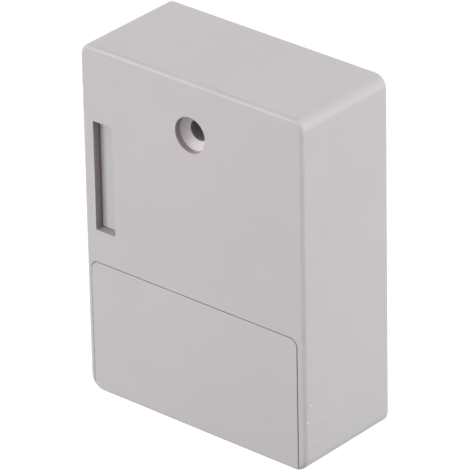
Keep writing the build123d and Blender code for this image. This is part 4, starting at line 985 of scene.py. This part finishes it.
def wind_spring(name, node):
    """A wound spring along Y in the place of a CAD one, fixed to the case."""
    low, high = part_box(node)
    middle = (low + high) / 2
    radius = (high.z - low.z) / 2 - SPRING_WIRE_RADIUS
    first, last = low.y + SPRING_WIRE_RADIUS, high.y - SPRING_WIRE_RADIUS
    end_rise = SPRING_CLOSED_PITCH * SPRING_WIRE_RADIUS * SPRING_END_TURNS
    steps = SPRING_TURNS * SPRING_STEPS
    path = []
    for step in range(steps + 1):
        turns = step / SPRING_STEPS
        left = SPRING_TURNS - turns
        if turns < SPRING_END_TURNS:
            depth = first + end_rise * turns / SPRING_END_TURNS
        elif left < SPRING_END_TURNS:
            depth = last - end_rise * left / SPRING_END_TURNS
        else:
            share = (turns - SPRING_END_TURNS) / (SPRING_TURNS - 2 * SPRING_END_TURNS)
            depth = first + end_rise + (last - first - 2 * end_rise) * share
        outward = Vector((math.cos(math.tau * turns), 0, math.sin(math.tau * turns)))
        path.append((Vector((middle.x, depth, middle.z)) + outward * radius, outward))
    form = bmesh.new()
    add_wire(form, path, SPRING_WIRE_RADIUS)
    piece = formed_piece(name, form)
    settle(piece, FINISHES["spring_steel"], [node])
    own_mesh(piece)


wind_spring("return_spring_upper", "ejector_spring_upper")
wind_spring("return_spring_lower", "ejector_spring_lower")


# Raised marks in the floor of the ledge under the cells: how the two cells go in

LEDGE_DEPTH = 6.0 * MM
LEDGE_MARK_HEIGHT = 0.18 * MM
LEDGE_MARK_ROOT = 0.05 * MM
LEDGE_LINE = 0.3 * MM
LEDGE_CELL_LEFT = -19.0 * MM
LEDGE_CELL_RIGHT = -9.0 * MM
LEDGE_CELL_TALL = 2.1 * MM
LEDGE_UPPER_CELL = 6.7 * MM
LEDGE_LOWER_CELL = 3.6 * MM
LEDGE_NUB_LENGTH = 0.5 * MM
LEDGE_NUB_HALF = 0.4 * MM
LEDGE_SIGN_ARM = 0.6 * MM
LEDGE_SIGN_HALF = 0.15 * MM
LEDGE_SIGN_ROOM = 1.8 * MM


def add_outline(form, low, high, line, front, back):
    """A raised rectangular line, as one closed frame."""
    loops = []
    for inset, depth in ((0, front), (line, front), (line, back), (0, back)):
        left, right = low[0] + inset, high[0] - inset
        bottom, top = low[1] + inset, high[1] - inset
        loops.append([form.verts.new((side, depth, height)) for side, height in (
            (left, bottom), (right, bottom), (right, top), (left, top))])
    for first, second in zip(loops, loops[1:] + loops[:1]):
        add_walls(form, first, second)


def add_plus(form, side, height, arm, half, front, back):
    """A raised plus sign, as one closed form."""
    quarter = [(arm, -half), (arm, half), (half, half)]
    corners = []
    for _ in range(4):
        corners += quarter
        quarter = [(-up, across) for across, up in quarter]
    near, far = ([form.verts.new((side + across, depth, height + up)) for across, up in corners]
                 for depth in (front, back))
    add_walls(form, near, far)
    form.faces.new(near)
    form.faces.new(far)


def mark_ledge():
    """Two small cell outlines with their nubs, and a + and a - beside each."""
    front = case_low.y + LEDGE_DEPTH - LEDGE_MARK_HEIGHT
    back = case_low.y + LEDGE_DEPTH + LEDGE_MARK_ROOT
    form = bmesh.new()
    left, right = LEDGE_CELL_LEFT, LEDGE_CELL_RIGHT
    for bottom, nub_way in ((LEDGE_UPPER_CELL, 1), (LEDGE_LOWER_CELL, -1)):
        top = bottom + LEDGE_CELL_TALL
        middle = (bottom + top) / 2
        add_outline(form, (left, bottom), (right, top), LEDGE_LINE, front, back)
        nub = right if nub_way > 0 else left - LEDGE_NUB_LENGTH
        add_bar(form, Vector((nub, front, middle - LEDGE_NUB_HALF)),
                Vector((nub + LEDGE_NUB_LENGTH, back, middle + LEDGE_NUB_HALF)))
        plus, minus = right + LEDGE_SIGN_ROOM, left - LEDGE_SIGN_ROOM
        if nub_way < 0:
            plus, minus = minus, plus
        add_plus(form, plus, middle, LEDGE_SIGN_ARM, LEDGE_SIGN_HALF, front, back)
        add_bar(form, Vector((minus - LEDGE_SIGN_ARM, front, middle - LEDGE_SIGN_HALF)),
                Vector((minus + LEDGE_SIGN_ARM, back, middle + LEDGE_SIGN_HALF)))
    settle(formed_piece("ledge_marks", form), FINISHES["case_plastic"])


mark_ledge()


# Camera, floor and light

def way_out(azimuth, elevation):
    """The way from the lock to a place round it: 0 is in front, and 90 is on its right."""
    turn, lift = math.radians(azimuth), math.radians(elevation)
    return Vector((math.sin(turn) * math.cos(lift), -math.cos(turn) * math.cos(lift),
                   math.sin(lift)))


def stand_camera():
    """The camera at the photograph's angle, roll and distance."""
    turn, roll = math.radians(CAMERA_AZIMUTH), math.radians(CAMERA_ROLL)
    back = way_out(CAMERA_AZIMUTH, CAMERA_ELEVATION)
    level = Vector((math.cos(turn), math.sin(turn), 0))
    above = back.cross(level)
    right = math.cos(roll) * level + math.sin(roll) * above
    up = -math.sin(roll) * level + math.cos(roll) * above
    aim = Vector((0, AIM_BEHIND_MIDDLE, case_middle.z)) + right * AIM_RIGHT + up * AIM_UP
    data = bpy.data.cameras.new("camera")
    data.sensor_width = SENSOR_SIDE
    data.lens = CAMERA_LENS
    data.clip_start, data.clip_end = CLIP_NEAR, CLIP_FAR
    camera = bpy.data.objects.new("camera", data)
    bpy.context.scene.collection.objects.link(camera)
    camera.matrix_world = Matrix.Translation(aim + back * CAMERA_DISTANCE) @ Matrix(
        (right, up, back)).transposed().to_4x4()
    bpy.context.scene.camera = camera


def lay_floor():
    """The white floor: what the camera sees of it is brighter than the light that it gives."""
    reach, low = FLOOR_REACH, case_low.z - FLOOR_ROOM
    mesh = bpy.data.meshes.new("floor")
    mesh.from_pydata([(-reach, -reach, low), (reach, -reach, low), (reach, reach, low),
                      (-reach, reach, low)], [], [(0, 1, 2, 3)])
    floor = new_piece("floor", mesh)
    material, tree, shader = new_material("floor_paper")
    tree.nodes.remove(shader)
    out = tree.nodes["Material Output"]
    path = add_node(tree, "ShaderNodeLightPath")
    seen = maths(tree, "MAXIMUM", path.outputs["Is Camera Ray"], path.outputs["Is Glossy Ray"])
    seen = maths(tree, "MAXIMUM", seen, path.outputs["Is Transmission Ray"])
    paper = add_node(tree, "ShaderNodeBsdfDiffuse", {"Color": FLOOR_LIT})
    faint = add_node(tree, "ShaderNodeBsdfDiffuse", {"Color": FLOOR_SEEN})
    white = add_node(tree, "ShaderNodeEmission", {"Color": WHITE, "Strength": FLOOR_GLOW})
    shown = add_node(tree, "ShaderNodeAddShader", {0: faint.outputs[0], 1: white.outputs[0]})
    both = add_node(tree, "ShaderNodeMixShader", {0: seen, 1: paper.outputs[0],
                                                  2: shown.outputs[0]})
    tree.links.new(both.outputs[0], out.inputs["Surface"])
    mesh.materials.append(material)


def clear_the_air():
    """A plain surround: white where the camera looks, also through a clear piece, else dark."""
    world = bpy.data.worlds.new("surround")
    world.use_nodes = True
    tree = world.node_tree
    tree.nodes.clear()
    path = add_node(tree, "ShaderNodeLightPath")
    seen = maths(tree, "MAXIMUM", path.outputs["Is Camera Ray"],
                 path.outputs["Is Transmission Ray"])
    air = add_node(tree, "ShaderNodeBackground", {"Color": WHITE, "Strength": seen})
    add_node(tree, "ShaderNodeOutputWorld", {"Surface": air.outputs[0]})
    bpy.context.scene.world = world


def hang_lamp(name, azimuth, elevation, side, power, colour):
    """A square soft lamp that faces the lock, placed as a camera would be."""
    back = way_out(azimuth, elevation)
    data = bpy.data.lights.new(name, "AREA")
    data.shape = "SQUARE"
    data.size = side
    data.energy = power
    data.color = colour
    lamp = bpy.data.objects.new(name, data)
    bpy.context.scene.collection.objects.link(lamp)
    lamp.rotation_mode = "QUATERNION"
    lamp.location = case_middle + back * LAMP_DISTANCE
    lamp.rotation_quaternion = (-back).to_track_quat("-Z", "Y")


stand_camera()
lay_floor()
clear_the_air()
for lamp_place in LAMPS:
    hang_lamp(*lamp_place)
bpy.context.scene.view_settings.view_transform = "Standard"
